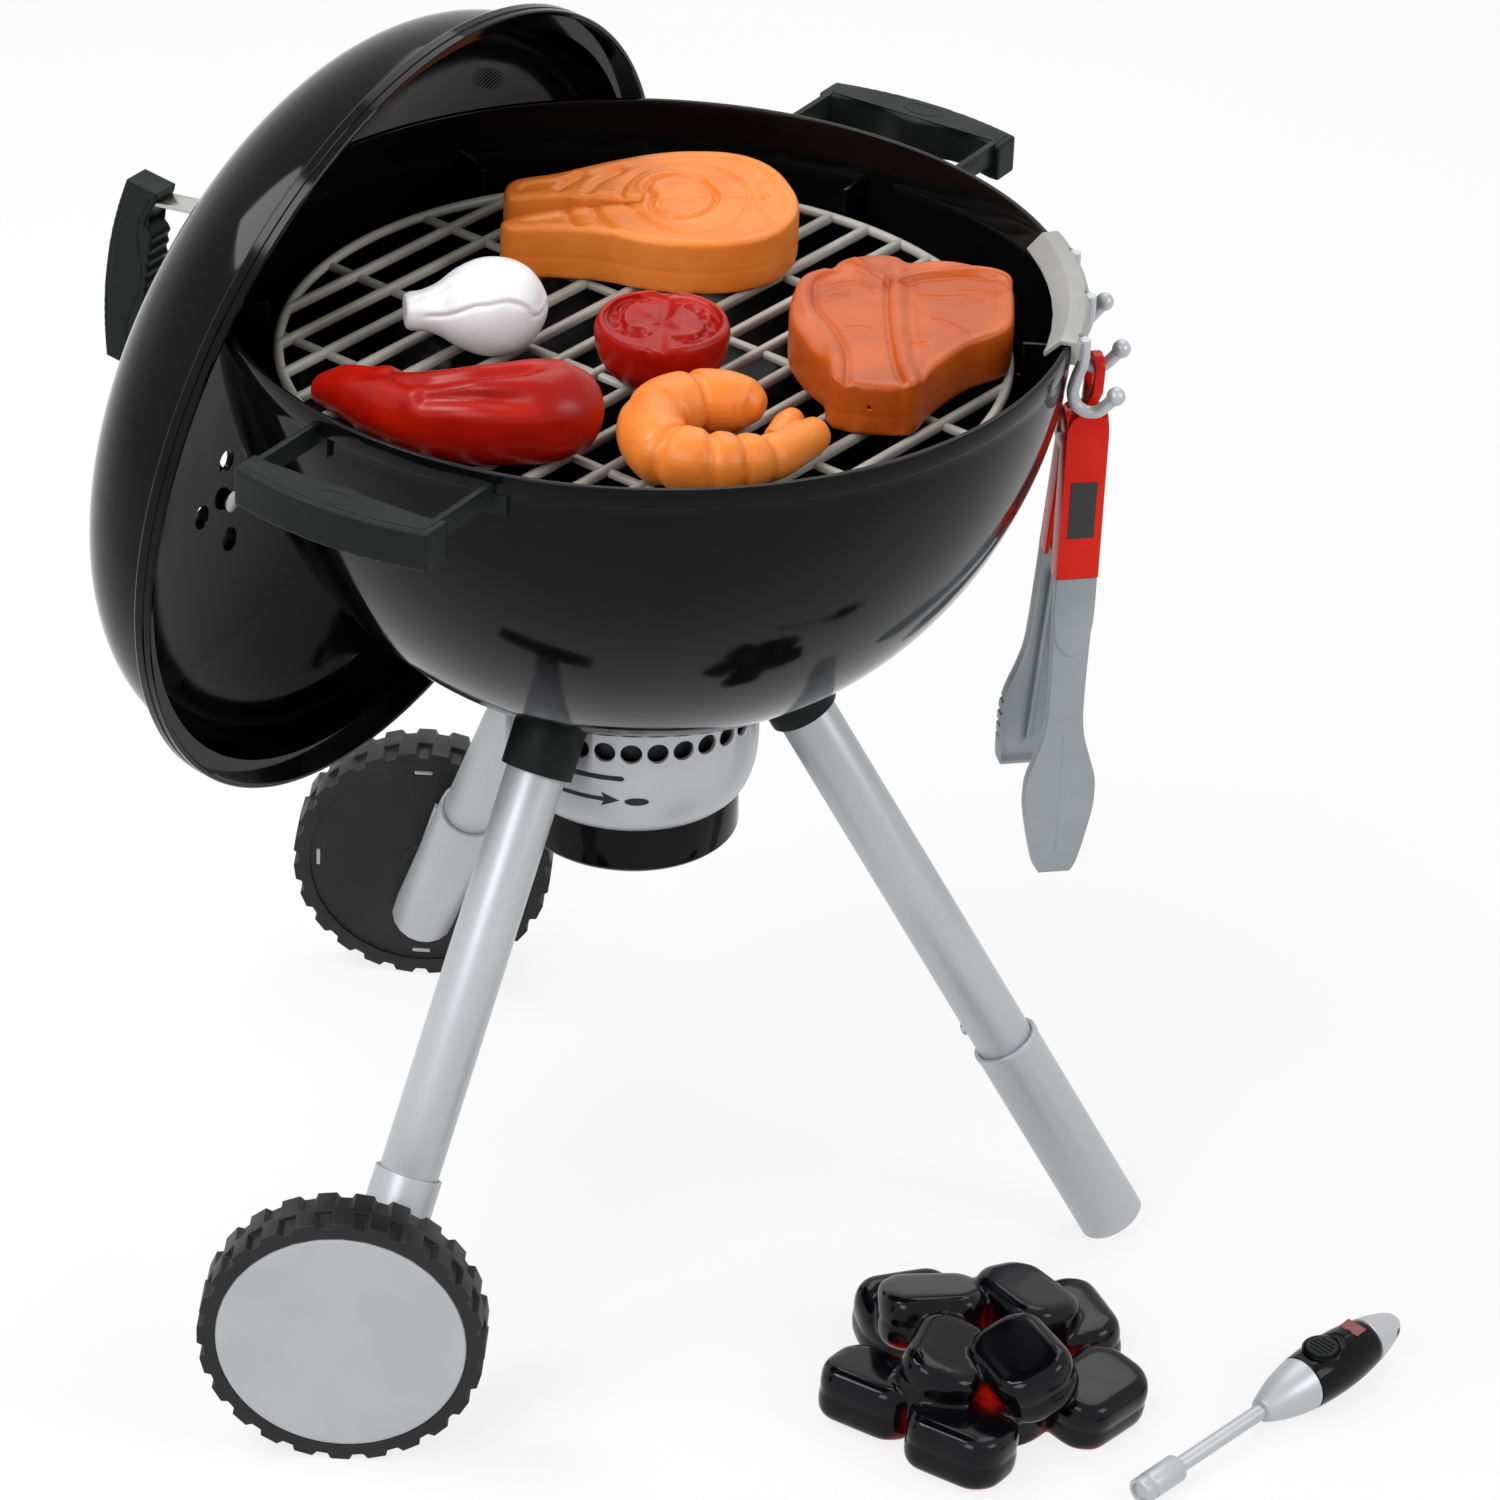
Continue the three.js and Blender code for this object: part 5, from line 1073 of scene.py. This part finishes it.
garlic_length = 63
garlic_radius = 21.5
garlic_shares = [(0, 0.34), (0.04, 0.4), (0.12, 0.42), (0.24, 0.55), (0.38, 0.82), (0.55, 1), (0.72, 0.98),
                 (0.86, 0.8), (0.95, 0.5), (1, 0.18)]
clove = through([(out * garlic_radius, up * garlic_length) for up, out in garlic_shares])
garlic = turned("garlic", [(0, 0), *clove, (0, garlic_length)], 72)
place(garlic, shift(0, 0, garlic_radius - 0.3) @ swing(radians(14)) @ shift(-garlic_length / 2) @ swing(pi / 2, "Y"))
flatten_below(garlic)
even_faces(garlic, 0.85, 5)
leaves = [[(-27, -12, 26), (-19, -9, 31), (-12, -6, 34), (-6, -6, 38), (1, -4, 41), (8, -2, 42), (16, 2, 41)],
          [(-24, -13, 22), (-12, -15, 24), (-6, -17, 27), (1, -17, 30), (7, -17, 31), (14, -15, 32), (19, -14, 31),
           (23, -12, 28), (26, -11, 24), (29, -6, 23), (30, 0, 25)],
          [(-24, 12, 28), (-10, 14, 34), (4, 16, 38), (18, 16, 36), (28, 12, 28)]]
for line in leaves:
    press(garlic, line, 0.9, 1.0, None)
    press(garlic, [(x, y + 1.6, z + 1.6) for x, y, z in line], -0.5, 1.8, None)
use(garlic, "SMOOTH", factor=0.4, iterations=1)
serve(garlic, -0.45, -0.1, garlic_white, "garlic_bulb")

pepper_length = 114
pepper_radius = 21.5
pepper_radii = [0.22, 0.48, 0.66, 0.78, 0.95, 1, 0.97, 0.8]
pepper_shares = [(-0.5, 0.22), (-0.4, 0.16), (-0.26, 0.02), (-0.08, -0.1), (0.14, -0.16), (0.34, -0.13),
                 (0.43, -0.08), (0.5, -0.02)]
pepper_route = through([(x * pepper_length, y * pepper_length, radius * pepper_radius - 0.3)
                        for (x, y), radius in zip(pepper_shares, pepper_radii)])
pepper = bent_tube("pepper", pepper_route, spread(pepper_radii, len(pepper_route)) * pepper_radius, 10)
flatten_below(pepper)
even_faces(pepper, 1.0, 10)
pepper_grooves = [[(-50, 20, 14), (-32, 3, 25), (-23, -4, 28), (-14, -12, 31), (-4, -18, 34), (8, -20, 38),
                   (20, -19, 41), (34, -16, 41), (46, -11, 36)],
                  [(-6, -25, 31), (13, -31, 36), (22, -32, 36), (32, -30, 34), (42, -26, 31), (50, -20, 26)],
                  [(-20, 2, 27), (-6, -4, 31), (12, -8, 35), (30, -6, 35), (44, -2, 30)]]
for line, depth in zip(pepper_grooves, (2.2, 1.6, 1.6)):
    press(pepper, line, depth, 3.2, None)
    press(pepper, line, -0.8, 4.5, None, offset=7)
stalk = bent_tube("stalk", through([(50, -6, 17), (56, -4, 17), (59, -3, 18)]), spread([9, 7, 4], 13), 6)
together(pepper, stalk)
even_faces(pepper, 1.0, 4)
serve(pepper, -0.49, -0.6, food_red, "red_pepper")

prawn_length = 84
prawn_radius = 14.5
prawn_radii = [0.3, 0.74, 0.9, 0.95, 1, 1, 1, 0.96, 0.86, 0.7, 0.6, 0.52]
prawn_shares = [(0.17, 0.33), (0.1, 0.36), (0, 0.37), (-0.16, 0.34), (-0.32, 0.2), (-0.38, -0.02), (-0.3, -0.24),
                (-0.13, -0.31), (0.06, -0.26), (0.23, -0.14), (0.36, 0.04), (0.45, 0.2)]
prawn_route = through([(x * prawn_length, y * prawn_length, radius * prawn_radius - 0.3)
                       for (x, y), radius in zip(prawn_shares, [0.85, 0.88, *prawn_radii[2:]])], per=12)
station = np.linspace(0, len(prawn_shares) - 1, len(prawn_route))
waists = sum(np.exp(-((station - crease) / 0.13) ** 2) for crease in (3.15, 4.5, 6.3, 7.3, 8.05, 8.8))
prawn = bent_tube("prawn", prawn_route,
                  spread(prawn_radii, len(prawn_route)) * prawn_radius * (1.03 - 0.16 * waists), 12)
fin = bent_tube("fin", through([(20, 8, 8), (25, 19, 9), (28, 27, 9)]), spread([5, 6.5, 5], 13), 8)
together(prawn, fin)
even_faces(prawn, 0.7, 4)
flatten_below(prawn)
smooth(prawn, 60)
serve(prawn, 0.25, -0.655, fish_orange, "shrimp")


# %% [markdown]
# The lid is a dome that hangs upright behind the bowl, so it gets a frame of its own: rim at zero, the top of the
# dome along its z, and the vertical of the hung lid along its y. The dome follows a superellipse too. Its vent has
# four holes under a turning steel plate, and the grip stands on two straps.

# %% Lid
lid_turn = radians(149.7)
lid_lift = radians(8)
dome_radius = 184
dome_depth = 83.5
dome_power = 2.5
lip_radius = 192.8
lip_height = 9.5
lid_wall = 2.5
rest_up = dome_radius * 0.5033


def dome_height(radius):
    return lip_height + dome_depth * (1 - (radius / dome_radius) ** dome_power) ** (1 / dome_power)


def dome_curve(growth):
    """From the edge to the top."""
    angles = [pi / 2 * (i / 48) ** 1.4 for i in range(49)]
    line = [((dome_radius + growth) * max(cos(a), 0) ** (2 / dome_power),
             lip_height + (dome_depth + growth) * sin(a) ** (2 / dome_power)) for a in angles]
    return [*line[:-1], (0, line[-1][1])]


lid_out = Vector((cos(lid_turn) * cos(lid_lift), sin(lid_turn) * cos(lid_lift), sin(lid_lift)))
lid_up = Vector((-cos(lid_turn) * sin(lid_lift), -sin(lid_turn) * sin(lid_lift), cos(lid_lift)))
lid_side = lid_up.cross(lid_out)
lid_middle = (Vector((rim_radius * cos(lid_turn), rim_radius * sin(lid_turn), rim_height))
              - (dome_height(rest_up) - 9.64) * lid_out - rest_up * lid_up - 3.2 * lid_side)
at_lid = upright @ standing(lid_side, lid_up, lid_out, [v * MM for v in lid_middle])
lid_inner = lip_radius - lid_wall
shell = turned("shell", [
    *reversed(dome_curve(-lid_wall)), (dome_radius - lid_wall, 7), (lid_inner, 7), (lid_inner, 0.5),
    (lid_inner + 0.5, 0), (lip_radius - 0.6, 0), (lip_radius, 0.6), (lip_radius, 2.6), (lip_radius - 0.7, 3.1),
    (lip_radius - 0.7, 4.1), (lip_radius, 4.6), (lip_radius, 8.3), (lip_radius - 0.5, 9.1), (lip_radius - 1.3, 9.5),
    (dome_radius + 1.2, 9.5), *dome_curve(-0.75)[1:],
], 180)


def on_dome(across, upwards, inwards=0):
    """Stands on a point of the dome, or so far under it, with up pointing straight out."""
    reach = hypot(across, upwards)
    slope = (dome_height(reach + 1) - dome_height(reach - 1)) / 2
    outwards = Vector((-slope * across / reach, -slope * upwards / reach, 1)).normalized()
    spot = Vector((across, upwards, dome_height(reach))) - outwards * inwards
    return Matrix.Translation(spot * MM) @ aimed(outwards)


at_vent = on_dome(13, -88)
vent_hole_radius = 5.8
vent_hole_reach = 20.5
pad_radius = 28.5
damper_radius = 28
damper_turn = radians(18)
pad = turned("pad", [(0, -12), (pad_radius, -12), (pad_radius, 0.3), (pad_radius - 0.5, 0.8), (0, 0.8)], 72)
place(pad, at_vent)
carve(pad, turned("core", [(0, -5), (lip_radius, -5), (lip_radius, lip_height), *dome_curve(-lid_wall / 2)[1:]]))
use(shell, "BOOLEAN", operation="UNION", solver="EXACT", object=pad)
bpy.data.objects.remove(pad)


def vent_rods(low, high, turn):
    rods = gathered(place(peg(vent_hole_radius, low, high, 32), swing(turn + i * pi / 2) @ shift(vent_hole_reach))
                    for i in range(4))
    return place(rods, at_vent)


carve(shell, vent_rods(-14, 6, 0))
smooth(shell, 28)
for across, upwards in ((-124, 99), (85, -138)):
    mark = gathered(place(bar(13 * sqrt(1 - (k / 6.8) ** 2), 0.7, -0.35, 0.35, 0.2), shift(k * 2.2))
                    for k in range(-6, 7))
    place(mark, on_dome(across, upwards, lid_wall + 0.1) @ swing(radians(25)))
    together(shell, mark)
place(shell, at_lid)
fit(shell, gloss_black, "lid_shell")

damper_low = 0.8 + GAP
damper = turned("damper", [(0, damper_low), (damper_radius, damper_low), (damper_radius, damper_low + 1.6),
                           (damper_radius - 0.4, damper_low + 2), (0, damper_low + 2)], 72)
place(damper, at_vent)
carve(damper, vent_rods(-6, 8, damper_turn))
tab = bar(14, 2.2, damper_low + 1.6, damper_low + 7.6, 0.5)
place(tab, at_vent @ shift(21) @ swing(pi / 2))
together(damper, tab)
smooth(damper, 40)
place(damper, at_lid)
fit(damper, steel, "lid_damper")
from_solid("damper_rivet", steel)

for strap in ("upper", "lower"):
    from_solid("lid_strap_" + strap, steel, 0.3, 2)
    from_solid("strap_screw_" + strap, steel, 0.3)
from_solid("lid_hook", satin_black, 0.5)

lid_grip_low = lip_height + dome_depth + 54.5
lid_grip_shape = (48, 18, 5.9, 5.5, 27)
lid_grip = slab("lid_grip", grip_outline(*lid_grip_shape, teeth=9), 0.05, 14.95)
even_faces(lid_grip, 0.6, 5)
for low, high in ((-0.2, 1), (14, 15.2)):
    together(lid_grip, raised_field(grip_outline(*lid_grip_shape), 3, low, high))
grip_turn = Matrix(((0, 0, 1, -7.5 * MM), (1, 0, 0, 0), (0, 1, 0, lid_grip_low * MM), (0, 0, 0, 1)))
place(lid_grip, at_lid @ grip_turn)
fit(lid_grip, satin_black, "lid_grip")

# %% [markdown]
# A grey clip sits over the bowl's rim and carries three hooks. Each hook is a wire bent along a smooth line, with
# a ball at its end so that it is safe for small hands.

# %% Tool clip and hooks
from_solid("tool_clip", clip_grey, 0.5, 3, 30)
hook_radius = 2.8
hook_reach = 19
hook_inner = body_radius + GAP + hook_radius
hook_top = rim_height + 1.8
hook_drop = 36.4
hook_route = [(0.19, 0.04), (0.18, 0.34), (0.07, 0.56), (0, 0.76), (0.09, 0.92), (0.33, 1), (0.59, 0.985),
              (0.82, 0.87), (1, 0.75)]
for hook, turn in (("left", -9.5), ("middle", 3), ("right", 15.5)):
    wire = through([(hook_inner + out * hook_reach, 0, hook_top - down * hook_drop) for out, down in hook_route],
                   per=8)
    made = bent_tube("hook", wire, [hook_radius] * len(wire), 8)
    smooth(made, 50)
    ball = turned("ball", [(4.2 * sin(pi * k / 12), -4.2 * cos(pi * k / 12)) for k in range(13)], 32)
    smooth(ball, 60)
    place(ball, shift(*wire[-1]))
    together(made, ball)
    place(made, upright @ swing(radians(turn)))
    fit(made, silver_plastic, "tool_hook_" + hook)

# %% [markdown]
# The tongs hang from the middle hook by an eye. Two red channel arms cross on a steel pin, and each carries a grey
# blade that fits inside it. The front arm has a plain dark plate, left blank here. The front blade is a spoon with
# a faint crease, and the rear one has a rib down its middle.

# %% Tongs
for arm in ("tongs_arm_front", "tongs_arm_rear"):
    from_solid(arm, tongs_red, 0.7, 3, 30)
pin_reach = 195.2
pin_turn = radians(3.9)
pin_drop = 31
arm_splay = radians(5.7)
at_tongs = (upright @ shift(pin_reach * cos(pin_turn), pin_reach * sin(pin_turn), hook_top - hook_drop - pin_drop)
            @ swing(radians(17)) @ swing(radians(2.2), "Y"))
at_front = at_tongs @ swing(-arm_splay, "X")
at_rear = at_tongs @ swing(arm_splay, "X")
plate = bar(27, 12.5, 0, 0.5, 0.2)
place(plate, at_front @ shift(0, -10.1, -37) @ swing(pi / 2, "X"))
detail(plate, label_black, "tongs_blank_plate", "tongs_arm_front")

blade_start = -70.3
front_shares = [(0, 0.57), (0.22, 0.52), (0.42, 0.49), (0.52, 0.55), (0.6, 0.75), (0.67, 0.95), (0.72, 1),
                (0.79, 0.97), (0.9, 0.77), (0.97, 0.6), (1, 0.45)]
rear_shares = [(0, 0.48), (0.3, 0.48), (0.45, 0.52), (0.55, 0.68), (0.65, 0.9), (0.75, 1), (0.95, 0.9), (1, 0.78)]


def both_sides(points):
    """A mirrored outline whose right side runs through a few points, in the order that inset needs."""
    side = through(points)
    return [(-x, y) for x, y in side] + side[::-1]


def blade_outline(shares, half, length):
    return both_sides([(out * half, blade_start - down * length) for down, out in shares])


def blade_shell(outline, face, hand):
    """A shallow tray of even wall; face is its outer side and hand says which way it opens."""
    low, high = sorted((face, face + hand * 5))
    tray = slab("tray", outline, low, high)
    low, high = sorted((face + hand * 1.6, face + hand * 8))
    carve(tray, slab("room", inset(outline, 1.6), low, high))
    return soften(tray, 0.5, 3, 40)


front_face = 9.4
rear_face = -10.3
front_length = 146
rear_length = 120
front = blade_shell(blade_outline(front_shares, 16.5, front_length), front_face, -1)
shield_side = [(9.5, -70.3), (9.5, -84), (9.1, -93), (7.6, -100.5), (4.4, -106), (0.8, -108.2)]
shield = slab("shield", both_sides(shield_side), 7.9, 10.25)
crease = place(bar(60, 0.8, 9.2, 9.55, 0.15), shift(0, -176))
together(front, soften(shield, 0.35, 2, 50), crease)
place(front, at_front @ swing(pi / 2, "X"))
fit(front, tongs_grey, "tongs_blade_front")

rear = blade_shell(blade_outline(rear_shares, 15.5, rear_length), rear_face, 1)
carve(rear, gathered(place(peg(1.5, -14, 0, 16), shift(-15.9, blade_start - (0.7 + 0.055 * k) * rear_length))
                     for k in range(5)))
together(rear, place(bar(96, 1.8, rear_face, -8.6, 0.4), shift(0, blade_start - rear_length / 2, 2.2)))
place(rear, at_rear @ swing(pi / 2, "X"))
fit(rear, tongs_grey, "tongs_blade_rear")
from_solid("tongs_pin", steel, 0.3, 2)

# %% [markdown]
# A coal is an eight-sided cushion: a cut slab with its edges rounded far, remeshed and pressed with a seam round
# its middle. Nine of them lie over one another on a low cushion that closes the cracks, and the pile is cut flat at
# the floor.

# %% Coal bed
bed_length, bed_depth, bed_height = 147, 136, 52
coal_places = [(-0.33, -0.1, 0.27, 150, 8), (-0.06, -0.33, 0.25, -30, -6), (0.34, -0.06, 0.27, 50, 8),
               (-0.17, 0.2, 0.6, 8, -14), (-0.24, 0.33, 0.3, 20, 10), (0.12, 0.24, 0.6, 130, 12),
               (0.27, 0.3, 0.3, 115, -8), (-0.12, -0.1, 0.58, 75, 16), (0.12, -0.14, 0.7, 120, -20)]
coal_outline = [(-25, -9.75), (-17, -19.5), (17, -19.5), (25, -9.75), (25, 9.75), (17, 19.5), (-17, 19.5),
                (-25, 9.75)]


def briquette(across, deep, up_share, turn, tilt):
    coal = slab("coal", coal_outline, -13.5, 13.5)
    use(coal, "BEVEL", width=9 * MM, segments=5, limit_method="ANGLE", angle_limit=radians(30))
    even_faces(coal, 1.3, 16)
    groove(coal, [(x * 0.99, y * 0.99, 0) for x, y in coal_outline], 0.7, 1.2, closed=True)
    return place(coal, shift(across * bed_length, deep * bed_depth, up_share * bed_height)
                 @ swing(radians(turn)) @ swing(radians(tilt), "X"))


bed = gathered(briquette(*values) for values in coal_places)
cushion = slab("cushion", [(2 + 32 * cos(i * pi / 12), -6 + 30 * sin(i * pi / 12)) for i in range(24)], 0.2, 24)
even_faces(cushion, 1.3, 16)
together(bed, cushion)
even_faces(bed, 1.2, 3)
flatten_below(bed, 0.15)
place(bed, upright @ shift(176, -146))
fit(bed, coal_black, "coal_bed")

# %% [markdown]
# The lighter is turned in sections that meet end to end: a thin rod with a thicker tip, a silver nose, a black
# middle with a button, and a silver tail with a hole. It is then laid down, so that it rests on its tip and belly.

# %% Lighter
belly_radius = 14
belly_start = 81
belly_length = 94
belly_shares = [(0, 0.4), (0.06, 0.56), (0.16, 0.77), (0.3, 0.94), (0.45, 1), (0.6, 0.97), (0.76, 0.82), (0.88, 0.62),
                (0.96, 0.4), (1, 0.14)]
tip_radius = 6.5


def belly_at(share):
    return belly_start + share * belly_length


belly = through([(out * belly_radius, belly_at(share)) for share, out in belly_shares])
lighter_tilt = asin((belly_radius - tip_radius) / belly_at(0.45))
at_lighter = (upright @ shift(247.6, -213, tip_radius * cos(lighter_tilt) + 0.2)
              @ swing(radians(46.9)) @ swing(pi / 2 - lighter_tilt, "Y"))


def belly_part(low, high):
    """The line of the belly between two heights, with flat ends."""
    def radius_at(height):
        return float(np.interp(height, [z for _, z in belly], [r for r, _ in belly]))
    inside = [(r, z) for r, z in belly if low + 0.6 < z < high - 0.6]
    return [(0, low), (radius_at(low) - 0.4, low), (radius_at(low + 0.4), low + 0.4), *inside,
            (radius_at(high - 0.4), high - 0.4), (radius_at(high) - 0.4, high), (0, high)]


nose_end = belly_at(0.3)
tail_start = belly_at(0.76)
joint = 0.15
tip = turned("tip", [(0, 1.5), (4.4, 1.5), (4.6, 0.2), (5.9, 0), (6.4, 0.5), (6.4, 5), (6.1, 5.4), (6.1, 6),
                     (tip_radius, 6.4), (tip_radius, 23.9), (6.0, 24.7), (4.05, 24.7), (4.05, 18.7), (0, 18.7)], 64)
rod = peg(3.75, 19, 87, 48)
nose = turned("nose", belly_part(belly_start, nose_end - joint), 80)
grip = turned("grip", belly_part(nose_end + joint, tail_start - joint))
tail = turned("tail", belly_part(tail_start + joint, belly_at(1)), 80)
carve(tail, place(peg(2.2, -30, 30, 32), shift(0, 0, belly_at(0.93)) @ swing(pi / 2, "X")))
upwards = shift(0, 0, belly_at(0.44)) @ swing(-pi / 2, "Y")
dish = turned("dish", [(0, 12.6), (10.5, 12.6), (12.5, 16), (0, 16)], 64)
place(dish, upwards @ Matrix.Diagonal((1.25, 0.86, 1, 1)))
carve(grip, dish, place(peg(7.8, 8, 20, 48), upwards))
collar = turned("collar", [(7.8, 11.5), (9.4, 11.5), (9.4, 13.4), (8.6, 13.8), (7.8, 13.4), (7.8, 11.5)], 64)
together(grip, place(collar, upwards))
button = turned("button", [(0, 9.5), (7.5, 9.5), (7.5, 14.2), (7.0, 14.8), (0, 14.9)], 64)
for k in range(-2, 3):
    rib = bar(2 * sqrt(5.6 ** 2 - (k * 2.1) ** 2), 1.1, 14.6, 15.35, 0.3)
    together(button, place(rib, shift(k * 2.1)))
place(button, upwards)
for name, piece, finish in (("tip", tip, silver_plastic), ("rod", rod, silver_plastic),
                            ("nose", nose, silver_plastic), ("grip", grip, gloss_black),
                            ("button", button, satin_black), ("tail", tail, silver_plastic)):
    smooth(piece, 40)
    fit(place(piece, at_lighter), finish, "lighter_" + name)

slant = bar(11, 6.5, 0, 0.3, 0.1)
place(slant, at_lighter @ shift(-(0.935 * belly_radius + 0.05), 0, belly_at(0.665))
      @ swing(radians(-6), "Y") @ swing(-pi / 2, "Y"))
detail(slant, label_red, "lighter_blank_label", "lighter_grip")

# %% [markdown]
# The floor is plain and pale. To the camera, and in mirrors and glass, it is mostly a flat white, and the rest of it
# catches a soft shadow. Four large soft lamps stand round the toy, as in a studio: at the front, the left, the
# right and the back. The sky works the same way: white where it is seen, and a dim grey as a source of light.

# %% Floor and light
nothing_selected()
bpy.ops.mesh.primitive_plane_add(size=30)
floor = bpy.context.object
floor.name = "floor"
ground = Finish("Pale floor", Roughness=0.9)
dust = ground.noise(1.2, 5.0).step(0.3, 0.7)
ground.set("Base Color", ground.blend(dust, paint("f4f4f4"), paint("f8f8f8")))
ground.bump(ground.noise(90, 3.0), 0.05, 0.2)
white = ground.node("ShaderNodeEmission", {}, (1, 1, 1, 1), 1.0)
plain = Wire(ground, ground.shader.outputs[0])
mixed = ground.node("ShaderNodeMixShader", {}, ground.seen() * 0.8, plain, white)
ground.join(ground.tree.nodes["Material Output"].inputs["Surface"], mixed)
floor.data.materials.append(ground.material)
floor.location.z = -0.0002

world = bpy.data.worlds.new("Studio")
bpy.context.scene.world = world
world.use_nodes = True
sky = Nodes(world.node_tree)
sky.tree.nodes.clear()
white = sky.node("ShaderNodeBackground", {}, (1, 1, 1, 1))
dim = sky.node("ShaderNodeBackground", {}, (0.62, 0.63, 0.64, 1), 0.55)
either = sky.node("ShaderNodeMixShader", {}, sky.seen(), dim, white)
sky.join(sky.tree.nodes.new("ShaderNodeOutputWorld").inputs["Surface"], either)

target = Vector((0, 0, 0.3))


def lamp(name, spot, size, power):
    nothing_selected()
    bpy.ops.object.light_add(type="AREA", location=spot)
    made = bpy.context.object
    made.name = name
    made.data.size = size
    made.data.energy = power
    made.rotation_euler = (target - Vector(spot)).to_track_quat("-Z", "Y").to_euler()


lamp("Front lamp", (-1.1, -1.9, 2.0), 1.3, 30)
lamp("Left lamp", (-1.3, -0.15, 2.15), 0.8, 24)
lamp("Right lamp", (1.9, -0.8, 1.5), 1.0, 17)
lamp("Back lamp", (0.3, 1.3, 2.3), 1.5, 18)
scene = bpy.context.scene
scene.render.resolution_x = photo_side
scene.render.resolution_y = photo_side
scene.view_settings.view_transform = "Standard"

nothing_selected()
